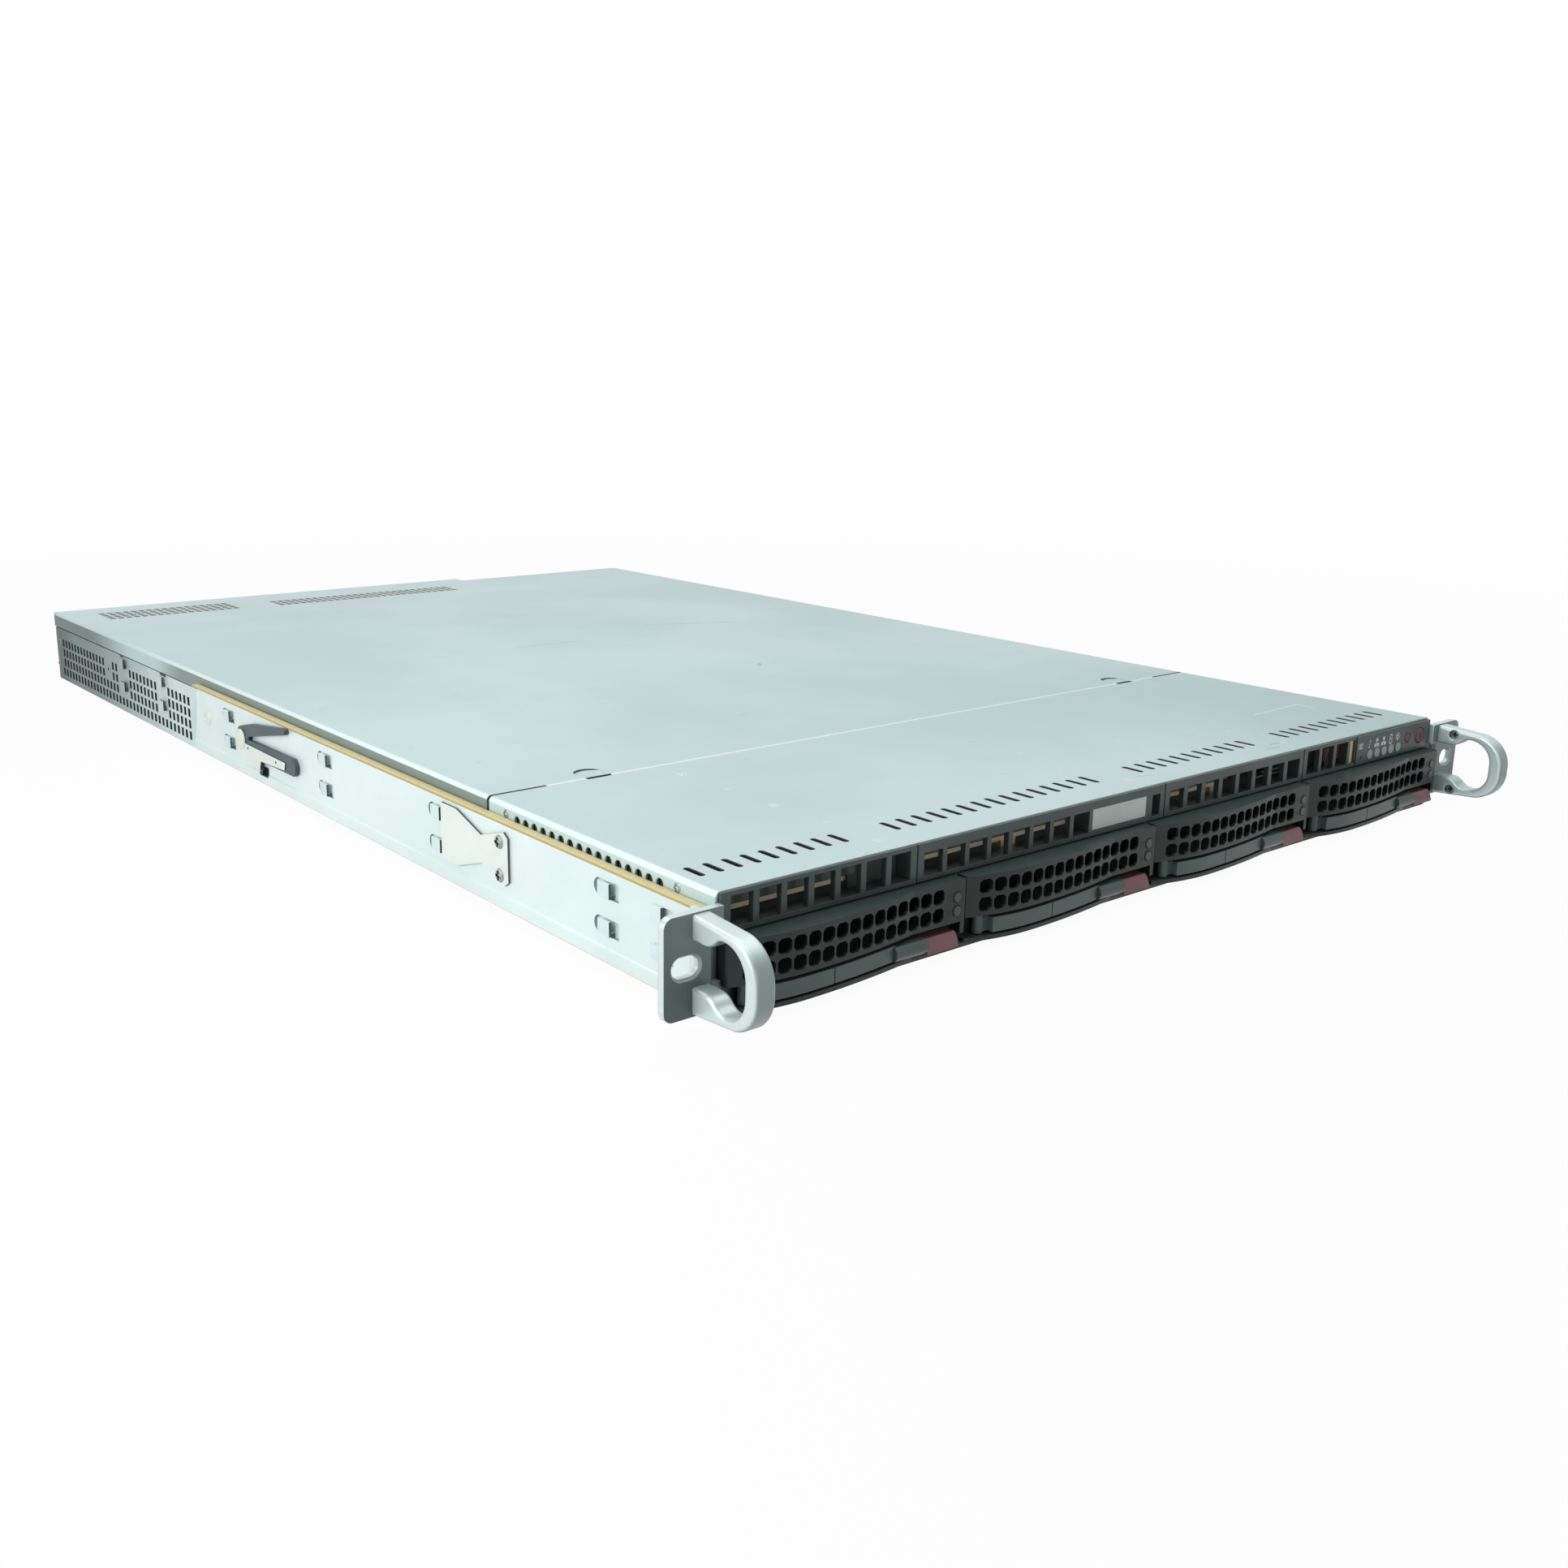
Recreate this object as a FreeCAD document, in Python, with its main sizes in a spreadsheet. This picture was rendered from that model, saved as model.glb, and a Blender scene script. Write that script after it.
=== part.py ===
import FreeCAD, Part
import os
import Sketcher

# One-unit rack server with four swappable drives, in millimetres.
# X runs across the front, from the left ear to the right ear, with 0 in the middle.
# Y runs from the front to the back, with 0 at the rear face of the ears, where they meet the rack posts.
# Z runs up from the underside of the chassis.

document = FreeCAD.newDocument("RackServer")
sheet = document.addObject("Spreadsheet::Sheet", "Sizes")


# A number that remembers the sheet formula it came from.
class Size:
    def __init__(self, number, formula):
        self.number = number
        self.formula = formula

    def __add__(self, other):
        return combine(self, "+", other, lambda a, b: a + b)

    def __radd__(self, other):
        return combine(other, "+", self, lambda a, b: a + b)

    def __sub__(self, other):
        return combine(self, "-", other, lambda a, b: a - b)

    def __rsub__(self, other):
        return combine(other, "-", self, lambda a, b: a - b)

    def __mul__(self, other):
        return combine(self, "*", other, lambda a, b: a * b)

    def __rmul__(self, other):
        return combine(other, "*", self, lambda a, b: a * b)

    def __truediv__(self, other):
        return combine(self, "/", other, lambda a, b: a / b)

    def __neg__(self):
        return 0 - self


def number(value):
    return value.number if isinstance(value, Size) else float(value)


def formula(value):
    return value.formula if isinstance(value, Size) else repr(float(value))


def combine(left, sign, right, work):
    return Size(work(number(left), number(right)), f"({formula(left)} {sign} {formula(right)})")



row = 0


# Writes one named size into the sheet and hands it back.
def size(name, value):
    global row
    row += 1
    sheet.set(f"A{row}", name)
    sheet.set(f"B{row}", str(value))
    sheet.setAlias(f"B{row}", name)
    return Size(float(value), f"Sizes.{name}")


# Body
body_width = size("body_width", 437.0)
body_length = size("body_length", 705.0)
body_height = size("body_height", 43.0)
front_lead = size("front_lead", 0.7)
tray_wall = size("tray_wall", 1.2)
wall_height = size("wall_height", 33.8)
wall_start = size("wall_start", 1.0)
floor_lead = size("floor_lead", 1.3)
cover_wall = size("cover_wall", 1.0)
cover_gap = size("cover_gap", 0.4)
cover_bend = size("cover_bend", 2.0)
skirt_height = size("skirt_height", 8.6)
fit_gap = size("fit_gap", 0.3)
slide_gap = size("slide_gap", 0.4)

# Covers
seam_place = size("seam_place", 143.3)
seam_gap = size("seam_gap", 0.7)
seam_slot_place = size("seam_slot_place", 167.3)
seam_slot_length = size("seam_slot_length", 12.4)
seam_slot_width = size("seam_slot_width", 1.2)
thumb_place = size("thumb_place", 167.5)
thumb_back = size("thumb_back", 7.4)
thumb_radius = size("thumb_radius", 6.2)
thumb_depth = size("thumb_depth", 0.5)
thumb_slit = size("thumb_slit", 0.9)
cover_vent_length = size("cover_vent_length", 10.0)
cover_vent_width = size("cover_vent_width", 1.9)
cover_vent_pitch = size("cover_vent_pitch", 7.95)
cover_vent_start = size("cover_vent_start", 17.0)
cover_vent_first = size("cover_vent_first", 6.3)
cover_vent_second = size("cover_vent_second", 95.4)
cover_vent_third = size("cover_vent_third", 235.0)
cover_vent_fourth = size("cover_vent_fourth", 341.5)
skirt_hole_radius = size("skirt_hole_radius", 1.95)
skirt_hole_pitch = size("skirt_hole_pitch", 6.04)
skirt_hole_first = size("skirt_hole_first", 30.5)
skirt_hole_drop = size("skirt_hole_drop", 5.2)
supply_bay = size("supply_bay", 141.4)
supply_inset = size("supply_inset", 10.0)

# Side vents and rail hooks
side_pitch = size("side_pitch", 6.14)
side_rise = size("side_rise", 6.35)
side_slot_width = size("side_slot_width", 3.3)
side_slot_height = size("side_slot_height", 4.7)
side_low = size("side_low", 3.45)
vents_front = size("vents_front", 464.3)
vents_middle = size("vents_middle", 516.5)
vents_back = size("vents_back", 608.7)
hook_length = size("hook_length", 7.0)
hook_height = size("hook_height", 5.5)
hook_wall = size("hook_wall", 1.2)
hook_proud = size("hook_proud", 1.3)
hook_low = size("hook_low", 13.4)
hook_rise = size("hook_rise", 13.6)
hook_first = size("hook_first", 52.8)
hook_second = size("hook_second", 172.8)
hook_third = size("hook_third", 278.8)
hook_fourth = size("hook_fourth", 392.8)
loop_first = size("loop_first", 499.5)
loop_second = size("loop_second", 565.0)
loop_proud = size("loop_proud", 2.0)

# Front strip and its panel
strip_low = size("strip_low", 28.7)
strip_depth = size("strip_depth", 7.0)
strip_lip = size("strip_lip", 1.0)
strip_face = size("strip_face", 2.4)
strip_web = size("strip_web", 1.0)
strip_seam = size("strip_seam", 0.6)
seam_first = size("seam_first", 88.6)
seam_second = size("seam_second", 228.9)
seam_third = size("seam_third", 328.3)
cell_low = size("cell_low", 30.4)
cell_height = size("cell_height", 8.7)
cell_tall = size("cell_tall", 10.7)
cell_width = size("cell_width", 9.3)
cells_first = size("cells_first", 5.2)
cells_first_pitch = size("cells_first_pitch", 11.8)
cells_second = size("cells_second", 92.0)
cells_second_pitch = size("cells_second_pitch", 11.5)
cells_third = size("cells_third", 232.3)
cells_third_pitch = size("cells_third_pitch", 11.95)
cells_fourth = size("cells_fourth", 331.4)
cells_fourth_pitch = size("cells_fourth_pitch", 11.6)
cell_narrow_place = size("cell_narrow_place", 220.9)
cell_narrow = size("cell_narrow", 5.0)
upright_place = size("upright_place", 366.2)
upright_width = size("upright_width", 3.8)
badge_left = size("badge_left", 183.8)
badge_width = size("badge_width", 33.0)
badge_low = size("badge_low", 31.2)
badge_height = size("badge_height", 8.2)
badge_wall = size("badge_wall", 1.2)
panel_left = size("panel_left", 371.2)
panel_width = size("panel_width", 64.4)
panel_low = size("panel_low", 29.6)
panel_height = size("panel_height", 12.6)
panel_proud = size("panel_proud", 0.4)
panel_depth = size("panel_depth", 13.0)
panel_margin = size("panel_margin", 3.0)
lamp_left = size("lamp_left", 382.6)
lamp_pitch = size("lamp_pitch", 6.18)
lamp_radius = size("lamp_radius", 2.2)
lamp_height = size("lamp_height", 32.7)
reset_left = size("reset_left", 415.7)
reset_height = size("reset_height", 36.1)
reset_radius = size("reset_radius", 2.2)
power_left = size("power_left", 426.6)
power_height = size("power_height", 35.8)
power_radius = size("power_radius", 3.6)
button_gap = size("button_gap", 0.25)
button_depth = size("button_depth", 8.0)
button_travel = size("button_travel", 1.2)
brace_low = size("brace_low", 32.8)
brace_height = size("brace_height", 2.5)
brace_wall = size("brace_wall", 1.2)
brace_end = size("brace_end", 280.0)
brace_foot = size("brace_foot", 8.0)
socket_width = size("socket_width", 14.5)

# Ears and handles
rack_width = size("rack_width", 482.6)
rack_hole_spacing = size("rack_hole_spacing", 465.1)
rack_hole_radius = size("rack_hole_radius", 3.55)
rack_slot_length = size("rack_slot_length", 10.5)
rack_hole_height = size("rack_hole_height", 22.0)
ear_low = size("ear_low", 5.0)
ear_high = size("ear_high", 39.6)
ear_wall = size("ear_wall", 3.0)
ear_corner = size("ear_corner", 3.5)
ear_neck_low = size("ear_neck_low", 14.5)
ear_neck_high = size("ear_neck_high", 30.2)
ear_plate_length = size("ear_plate_length", 25.0)
ear_plate_wall = size("ear_plate_wall", 2.0)
ear_rib_depth = size("ear_rib_depth", 5.3)
ear_rib_wall = size("ear_rib_wall", 2.2)
handle_wall = size("handle_wall", 8.0)
handle_reach = size("handle_reach", 34.9)
handle_high = size("handle_high", 37.6)
handle_low = size("handle_low", 6.9)
handle_top_bend = size("handle_top_bend", 14.0)
handle_low_bend = size("handle_low_bend", 13.4)
handle_taper = size("handle_taper", 1.4)
grip_bar = size("grip_bar", 6.2)
grip_top = size("grip_top", 34.3)
grip_bottom = size("grip_bottom", 10.4)
grip_top_bend = size("grip_top_bend", 10.0)
grip_low_bend = size("grip_low_bend", 9.0)
grip_root = size("grip_root", 6.3)
grip_step_high = size("grip_step_high", 3.9)
grip_step_low = size("grip_step_low", 4.4)
handle_round = size("handle_round", 1.5)
ear_bevel = size("ear_bevel", 0.9)
handle_bolt_radius = size("handle_bolt_radius", 2.3)
handle_bolt_depth = size("handle_bolt_depth", 2.2)
handle_bolt_reach = size("handle_bolt_reach", 10.6)
handle_bolt_high = size("handle_bolt_high", 35.6)
handle_bolt_low = size("handle_bolt_low", 8.9)

# Rails
rail_depth = size("rail_depth", 4.0)
rail_wall = size("rail_wall", 1.2)
rail_low = size("rail_low", 3.2)
rail_high = size("rail_high", 36.6)
rail_lip_height = size("rail_lip_height", 5.6)
rail_lip_proud = size("rail_lip_proud", 0.6)
rail_length = size("rail_length", 446.0)
rail_slant = size("rail_slant", 8.0)
rail_start = size("rail_start", 0.6)
keyhole_place = size("keyhole_place", 17.5)
keyhole_length = size("keyhole_length", 12.0)
rail_window_place = size("rail_window_place", 347.5)
window_before = size("window_before", 4.2)
window_behind = size("window_behind", 3.9)
lever_pivot = size("lever_pivot", 374.6)
lever_height = size("lever_height", 22.0)
lever_wall = size("lever_wall", 2.0)
lever_boss = size("lever_boss", 6.8)
lever_pin = size("lever_pin", 2.4)
lever_head = size("lever_head", 5.2)
lever_upper_reach = size("lever_upper_reach", 53.0)
lever_lower_reach = size("lever_lower_reach", 68.0)
pin_gap = size("pin_gap", 0.06)
spring_place = size("spring_place", 120.2)
spring_length = size("spring_length", 51.5)
spring_low = size("spring_low", 11.8)
spring_high = size("spring_high", 35.0)
spring_waist = size("spring_waist", 5.6)
spring_wall = size("spring_wall", 1.0)
rivet_radius = size("rivet_radius", 4.0)
rivet_place = size("rivet_place", 425.3)

# Drive bays
bay_pitch = size("bay_pitch", 109.2)
bay_depth = size("bay_depth", 171.7)
divider_wall = size("divider_wall", 0.8)
cage_low = size("cage_low", 28.6)
cage_wall = size("cage_wall", 1.0)
guide_height = size("guide_height", 2.0)
carrier_low = size("carrier_low", 3.0)
carrier_height = size("carrier_height", 25.2)
face_left = size("face_left", 54.6)
face_right = size("face_right", 53.0)
face_end = size("face_end", 3.6)
face_peak = size("face_peak", 9.8)
face_flat = size("face_flat", 5.6)
face_peak_place = size("face_peak_place", 24.0)
face_flat_place = size("face_flat_place", 27.0)
face_round = size("face_round", 1.0)
face_wall = size("face_wall", 1.4)
face_back = size("face_back", 1.2)
grille_low = size("grille_low", 12.5)
grille_hole = size("grille_hole", 5.4)
grille_cut = size("grille_cut", 1.2)
grille_pitch = size("grille_pitch", 6.15)
grille_rise = size("grille_rise", 6.8)
grille_first = size("grille_first", 46.5)
grille_row = size("grille_row", 16.8)
light_place = size("light_place", 49.1)
light_low = size("light_low", 16.8)
light_rise = size("light_rise", 5.1)
light_radius = size("light_radius", 1.8)
light_length = size("light_length", 4.6)
mouth_depth = size("mouth_depth", 0.5)
mouth_right = size("mouth_right", 51.0)
corner_low = size("corner_low", 8.0)
lip_height = size("lip_height", 1.6)
lip_under_tab = size("lip_under_tab", 1.0)
carrier_rail = size("carrier_rail", 1.8)
carrier_rail_height = size("carrier_rail_height", 9.0)
carrier_length = size("carrier_length", 165.0)
drive_width = size("drive_width", 101.6)
drive_length = size("drive_length", 147.0)
drive_height = size("drive_height", 26.1)
drive_low = size("drive_low", 1.9)
drive_start = size("drive_start", 17.0)
drive_gap = size("drive_gap", 0.15)
grip_pivot = size("grip_pivot", 46.2)
grip_pivot_depth = size("grip_pivot_depth", 2.9)
grip_pin = size("grip_pin", 1.2)
grip_knuckle = size("grip_knuckle", 2.1)
grip_left = size("grip_left", 43.0)
grip_low = size("grip_low", 5.6)
grip_height = size("grip_height", 5.6)
groove_place = size("groove_place", 12.9)
groove_width = size("groove_width", 0.5)
groove_depth = size("groove_depth", 0.4)
scoop_left = size("scoop_left", 17.0)
scoop_right = size("scoop_right", 32.4)
scoop_low = size("scoop_low", 4.9)
scoop_height = size("scoop_height", 5.7)
scoop_depth = size("scoop_depth", 6.5)
scoop_round = size("scoop_round", 3.1)
tab_width = size("tab_width", 15.5)
tab_low = size("tab_low", 4.3)
tab_height = size("tab_height", 5.3)
tab_top_depth = size("tab_top_depth", 5.4)
tab_low_depth = size("tab_low_depth", 7.8)
tab_round = size("tab_round", 7.0)

# Fans
fan_pitch = size("fan_pitch", 106.0)
fan_side = size("fan_side", 40.0)
fan_depth = size("fan_depth", 28.0)
fan_start = size("fan_start", 190.0)
fan_bore = size("fan_bore", 18.8)
fan_lift = size("fan_lift", 0.1)
fan_strut = size("fan_strut", 2.0)
rotor_radius = size("rotor_radius", 18.2)
rotor_depth = size("rotor_depth", 18.0)
rotor_inset = size("rotor_inset", 4.0)
hub_radius = size("hub_radius", 9.0)
blade_wall = size("blade_wall", 1.2)
blade_sweep = size("blade_sweep", 9.0)
shaft_radius = size("shaft_radius", 1.5)
bracket_wall = size("bracket_wall", 1.2)

# Board and supplies
board_left = size("board_left", 8.0)
board_width = size("board_width", 281.0)
board_start = size("board_start", 250.0)
board_length = size("board_length", 330.0)
board_wall = size("board_wall", 1.6)
standoff_height = size("standoff_height", 5.0)
standoff_radius = size("standoff_radius", 3.0)
sink_width = size("sink_width", 78.0)
sink_length = size("sink_length", 96.0)
sink_height = size("sink_height", 25.0)
sink_base = size("sink_base", 4.0)
fin_wall = size("fin_wall", 1.0)
fin_pitch = size("fin_pitch", 5.5)
memory_wall = size("memory_wall", 1.3)
memory_length = size("memory_length", 133.0)
memory_height = size("memory_height", 30.0)
memory_pitch = size("memory_pitch", 9.0)
supply_width = size("supply_width", 68.0)
supply_height = size("supply_height", 39.0)
supply_length = size("supply_length", 300.0)
supply_gap = size("supply_gap", 1.0)
inlet_width = size("inlet_width", 27.5)
inlet_height = size("inlet_height", 20.0)
inlet_depth = size("inlet_depth", 14.0)
loop_reach = size("loop_reach", 9.0)
loop_bar = size("loop_bar", 2.4)
loop_span = size("loop_span", 16.0)
port_width = size("port_width", 16.0)
port_height = size("port_height", 13.5)

document.recompute()

# Places that many sub-parts share
half = body_width / 2
front = -front_lead
back = front + body_length
tub_back = back - cover_wall - fit_gap
supply_back = back - supply_inset
supply_left = half - supply_bay
skirt_low = body_height - skirt_height
cover_under = body_height - cover_wall
cover_front = front + strip_lip + fit_gap
wall_inner = half - tray_wall
jog_outer = half - cover_wall - cover_gap
jog_inner = jog_outer - tray_wall
wall_top = cover_under - cover_gap
seam = front + seam_place
carrier_high = carrier_low + carrier_height
face_rear = front + face_back
mouth = front - mouth_depth
rail_face = half + rail_depth
strip_back = front + strip_depth
zero = 0 * body_width

origin_planes = {"XY": "XY_Plane", "XZ": "XZ_Plane", "YZ": "YZ_Plane"}
origin_axes = {"X": "X_Axis", "Y": "Y_Axis", "Z": "Z_Axis"}


def bind(thing, path, value):
    thing.setExpression(path, formula(value))


def origin_feature(body, role):
    return next(feature for feature in body.Origin.OriginFeatures if feature.Role == role)


# A block between two places along each axis.
def block(name, x, y, z):
    box = document.addObject("Part::Box", name)
    for path, (low, high) in (("Length", x), ("Width", y), ("Height", z)):
        bind(box, path, high - low)
    for path, (low, high) in (("x", x), ("y", y), ("z", z)):
        bind(box, f"Placement.Base.{path}", low)
    return box


rod_turns = {
    "X": FreeCAD.Rotation(FreeCAD.Vector(0, 1, 0), 90),
    "Y": FreeCAD.Rotation(FreeCAD.Vector(1, 0, 0), -90),
    "Z": FreeCAD.Rotation(),
}


# A round rod along one axis; place gives the other two coordinates in order.
def rod(name, axis, place, span, radius):
    cylinder = document.addObject("Part::Cylinder", name)
    cylinder.Placement = FreeCAD.Placement(FreeCAD.Vector(), rod_turns[axis])
    bind(cylinder, "Radius", radius)
    bind(cylinder, "Height", span[1] - span[0])
    others = [letter for letter in "XYZ" if letter != axis]
    bind(cylinder, f"Placement.Base.{axis.lower()}", span[0])
    bind(cylinder, f"Placement.Base.{others[0].lower()}", place[0])
    bind(cylinder, f"Placement.Base.{others[1].lower()}", place[1])
    return cylinder


# The centre of an arc between two places; turn is 1 for counterclockwise, -1 for clockwise.
def arc_edge(start, end, radius, turn):
    chord_x, chord_y = end[0] - start[0], end[1] - start[1]
    chord = (chord_x ** 2 + chord_y ** 2) ** 0.5
    rise = max(radius ** 2 - chord ** 2 / 4, 0.0) ** 0.5
    centre = (
        (start[0] + end[0]) / 2 - turn * rise * chord_y / chord,
        (start[1] + end[1]) / 2 + turn * rise * chord_x / chord,
    )
    flat = FreeCAD.Vector(1, 0, 0)
    angles = [
        FreeCAD.Vector(place[0] - centre[0], place[1] - centre[1], 0) for place in (start, end)
    ]
    turned = []
    for spoke in angles:
        angle = spoke.getAngle(flat)
        turned.append(angle if spoke.y >= 0 else -angle)
    if turn < 0:
        turned.reverse()
    circle = Part.Circle(FreeCAD.Vector(centre[0], centre[1], 0), FreeCAD.Vector(0, 0, 1), radius)
    return Part.ArcOfCircle(circle, turned[0], turned[1])


def draw_circle(sketch, place, radius):
    centre = FreeCAD.Vector(number(place[0]), number(place[1]), 0)
    circle = sketch.addGeometry(Part.Circle(centre, FreeCAD.Vector(0, 0, 1), number(radius)), False)
    constraints = (
        (Sketcher.Constraint("DistanceX", -1, 1, circle, 3, number(place[0])), place[0]),
        (Sketcher.Constraint("DistanceY", -1, 1, circle, 3, number(place[1])), place[1]),
        (Sketcher.Constraint("Radius", circle, number(radius)), radius),
    )
    for constraint, value in constraints:
        bind(sketch, f"Constraints[{sketch.addConstraint(constraint)}]", value)


# Draws a closed outline. Each corner is (across, up), and a corner reached by an arc is
# (across, up, radius, turn). Every corner and radius follows the sheet.
def draw_outline(sketch, corners):
    if corners[0] == "circle":
        draw_circle(sketch, corners[1], corners[2])
        return
    first = sketch.GeometryCount
    count = len(corners)
    places = [(number(corner[0]), number(corner[1])) for corner in corners]
    backward = []
    half_round = []
    for index in range(count):
        start, end = places[index], places[(index + 1) % count]
        corner = corners[(index + 1) % count]
        if len(corner) == 2:
            line = Part.LineSegment(FreeCAD.Vector(*start, 0), FreeCAD.Vector(*end, 0))
            sketch.addGeometry(line, False)
            backward.append(False)
            half_round.append(False)
        else:
            sketch.addGeometry(arc_edge(start, end, number(corner[2]), corner[3]), False)
            backward.append(corner[3] < 0)
            chord = FreeCAD.Vector(end[0] - start[0], end[1] - start[1], 0).Length
            half_round.append(abs(chord - 2 * number(corner[2])) < 1e-6)
    for index in range(count):
        following = (index + 1) % count
        kind = "Tangent" if half_round[following] else "Coincident"
        end = 1 if backward[index] else 2
        start = 2 if backward[following] else 1
        sketch.addConstraint(Sketcher.Constraint(kind, first + index, end, first + following, start))
    for index, corner in enumerate(corners):
        start = 2 if backward[index] else 1
        for kind, value in (("DistanceX", corner[0]), ("DistanceY", corner[1])):
            constraint = Sketcher.Constraint(kind, -1, 1, first + index, start, number(value))
            bind(sketch, f"Constraints[{sketch.addConstraint(constraint)}]", value)
        if len(corner) == 4 and not half_round[index - 1]:
            constraint = Sketcher.Constraint("Radius", first + (index - 1) % count, number(corner[2]))
            bind(sketch, f"Constraints[{sketch.addConstraint(constraint)}]", corner[2])


# A sketched outline padded from one place to another, square to its plane or widening by a draft.
def prism(name, plane, span, *outlines, draft=0):
    body = document.addObject("PartDesign::Body", name)
    body.AllowCompound = True
    sketch = body.newObject("Sketcher::SketchObject", name + "_outline")
    sketch.AttachmentSupport = [(origin_feature(body, origin_planes[plane]), "")]
    sketch.MapMode = "FlatFace"
    bind(sketch, "AttachmentOffset.Base.z", -span[1] if plane == "XZ" else span[0])
    for corners in outlines:
        draw_outline(sketch, corners)
    pad = body.newObject("PartDesign::Pad", name + "_pad")
    pad.Profile = sketch
    bind(pad, "Length", span[1] - span[0])
    pad.TaperAngle = draft
    body.Tip = pad
    return body


# Repeats a prism in a row, or in rows and columns; each way is (axis, count, pitch).
def repeat(body, along, up=None):
    pattern = body.newObject("PartDesign::LinearPattern", body.Name + "_row")
    pattern.Originals = [body.Tip]
    for suffix, way in (("", along), ("2", up)):
        if way is None:
            continue
        axis, count, pitch = way
        setattr(pattern, "Direction" + suffix, (origin_feature(body, origin_axes[axis]), [""]))
        bind(pattern, "Length" + suffix, pitch * (count - 1))
        setattr(pattern, "Occurrences" + suffix, count)
    body.Tip = pattern
    return body


def join(name, *pieces):
    fuse = document.addObject("Part::MultiFuse", name)
    fuse.Shapes = list(pieces)
    return fuse


def cut(name, base, *tools):
    for index, tool in enumerate(tools):
        step = document.addObject("Part::Cut", name if index == len(tools) - 1 else f"{name}_step{index}")
        step.Base = base
        step.Tool = tool
        base = step
    return base


def overlap(name, base, tool):
    common = document.addObject("Part::Common", name)
    common.Base = base
    common.Tool = tool
    return common


def group(name, *pieces):
    compound = document.addObject("Part::Compound", name)
    compound.Links = list(pieces)
    return compound


# The same piece again, moved along X.
def moved(name, piece, shift):
    copy = group(name, piece)
    bind(copy, "Placement.Base.x", shift)
    return copy


# The same piece on the other side of the middle.
def mirrored(name, piece):
    mirror = document.addObject("Part::Mirroring", name)
    mirror.Source = piece
    mirror.Normal = FreeCAD.Vector(1, 0, 0)
    return mirror


parts = {}


# Names a finished sub-part; the name is its label and its file.
def finish(name, piece):
    piece.Label = name
    parts[name] = piece
    return piece


# A rectangle as an outline.
def rectangle(across, up):
    return [(across[0], up[0]), (across[1], up[0]), (across[1], up[1]), (across[0], up[1])]


# A slot with half-round ends, long across.
def slot(across, up):
    radius = (up[1] - up[0]) / 2
    return [
        (across[0] + radius, up[0], radius, 1),
        (across[1] - radius, up[0]),
        (across[1] - radius, up[1], radius, 1),
        (across[0] + radius, up[1]),
    ]


# A small opening with eight corners, as long upward as asked.
def octagon_slot(across, up):
    corner = (across[1] - across[0]) * 0.29
    return [
        (across[0] + corner, up[0]),
        (across[1] - corner, up[0]),
        (across[1], up[0] + corner),
        (across[1], up[1] - corner),
        (across[1] - corner, up[1]),
        (across[0] + corner, up[1]),
        (across[0], up[1] - corner),
        (across[0], up[0] + corner),
    ]


# A full circle as an outline.
def ring(place, radius):
    return ("circle", place, radius)


# The chassis: floor, joggled side walls, rail hooks, side vents and board standoffs

def wall_outline():
    left = [
        (-jog_inner, wall_top),
        (-jog_outer, wall_top),
        (-jog_outer, wall_height),
        (-half, wall_height),
        (-half, zero),
    ]
    inside = [
        (wall_inner, tray_wall),
        (wall_inner, wall_height - tray_wall),
        (jog_inner, wall_height - tray_wall),
    ]
    right = [(-across, up) for across, up in reversed(left)]
    return left + right + list(reversed(inside)) + [(-across, up) for across, up in inside]


def side_vents(name, first, count, lowest, rows):
    low = side_low + side_rise * lowest
    columns = (first - side_slot_width / 2, first + side_slot_width / 2)
    outline = rectangle(columns, (low, low + side_slot_height))
    slots = prism(name, "YZ", (-half - 1, 1 - wall_inner), outline)
    return repeat(slots, ("Y", count, side_pitch), ("Z", rows, side_rise) if rows > 1 else None)


# A bent tab that the rail hangs on: a tongue through the window and a lip outside it.
def rail_hook(name, place, low, proud, side):
    length = (place, place + hook_length)
    outside = half + proud
    tongue = block(name + "_tongue", (wall_inner, outside), length, (low, low + hook_wall))
    lip = block(name + "_lip", (outside - 1, outside), length, (low, low + hook_height))
    hook = join(name, tongue, lip)
    return hook if side > 0 else mirrored(name + "_mirrored", hook)


def hooks(side):
    pieces = []
    proud = rail_depth + hook_proud
    for index, place in enumerate((hook_first, hook_second, hook_third, hook_fourth)):
        for level in range(2):
            name = f"hook_{'right' if side > 0 else 'left'}_{index}_{level}"
            pieces.append(rail_hook(name, place, hook_low + hook_rise * level, proud, side))
    return pieces


def free_loops():
    pieces = []
    for index, place in enumerate((loop_first, loop_second)):
        for level in range(2):
            low = hook_low + hook_rise * level
            pieces.append(rail_hook(f"loop_{index}_{level}", place, low, loop_proud, -1))
    return pieces


def board_standoffs():
    left = board_left - half + 12
    post = prism(
        "standoff",
        "XY",
        (tray_wall, tray_wall + standoff_height),
        ring((left, board_start + 12), standoff_radius),
    )
    return repeat(post, ("X", 3, (board_width - 24) / 2), ("Y", 3, (board_length - 24) / 2))


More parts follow.
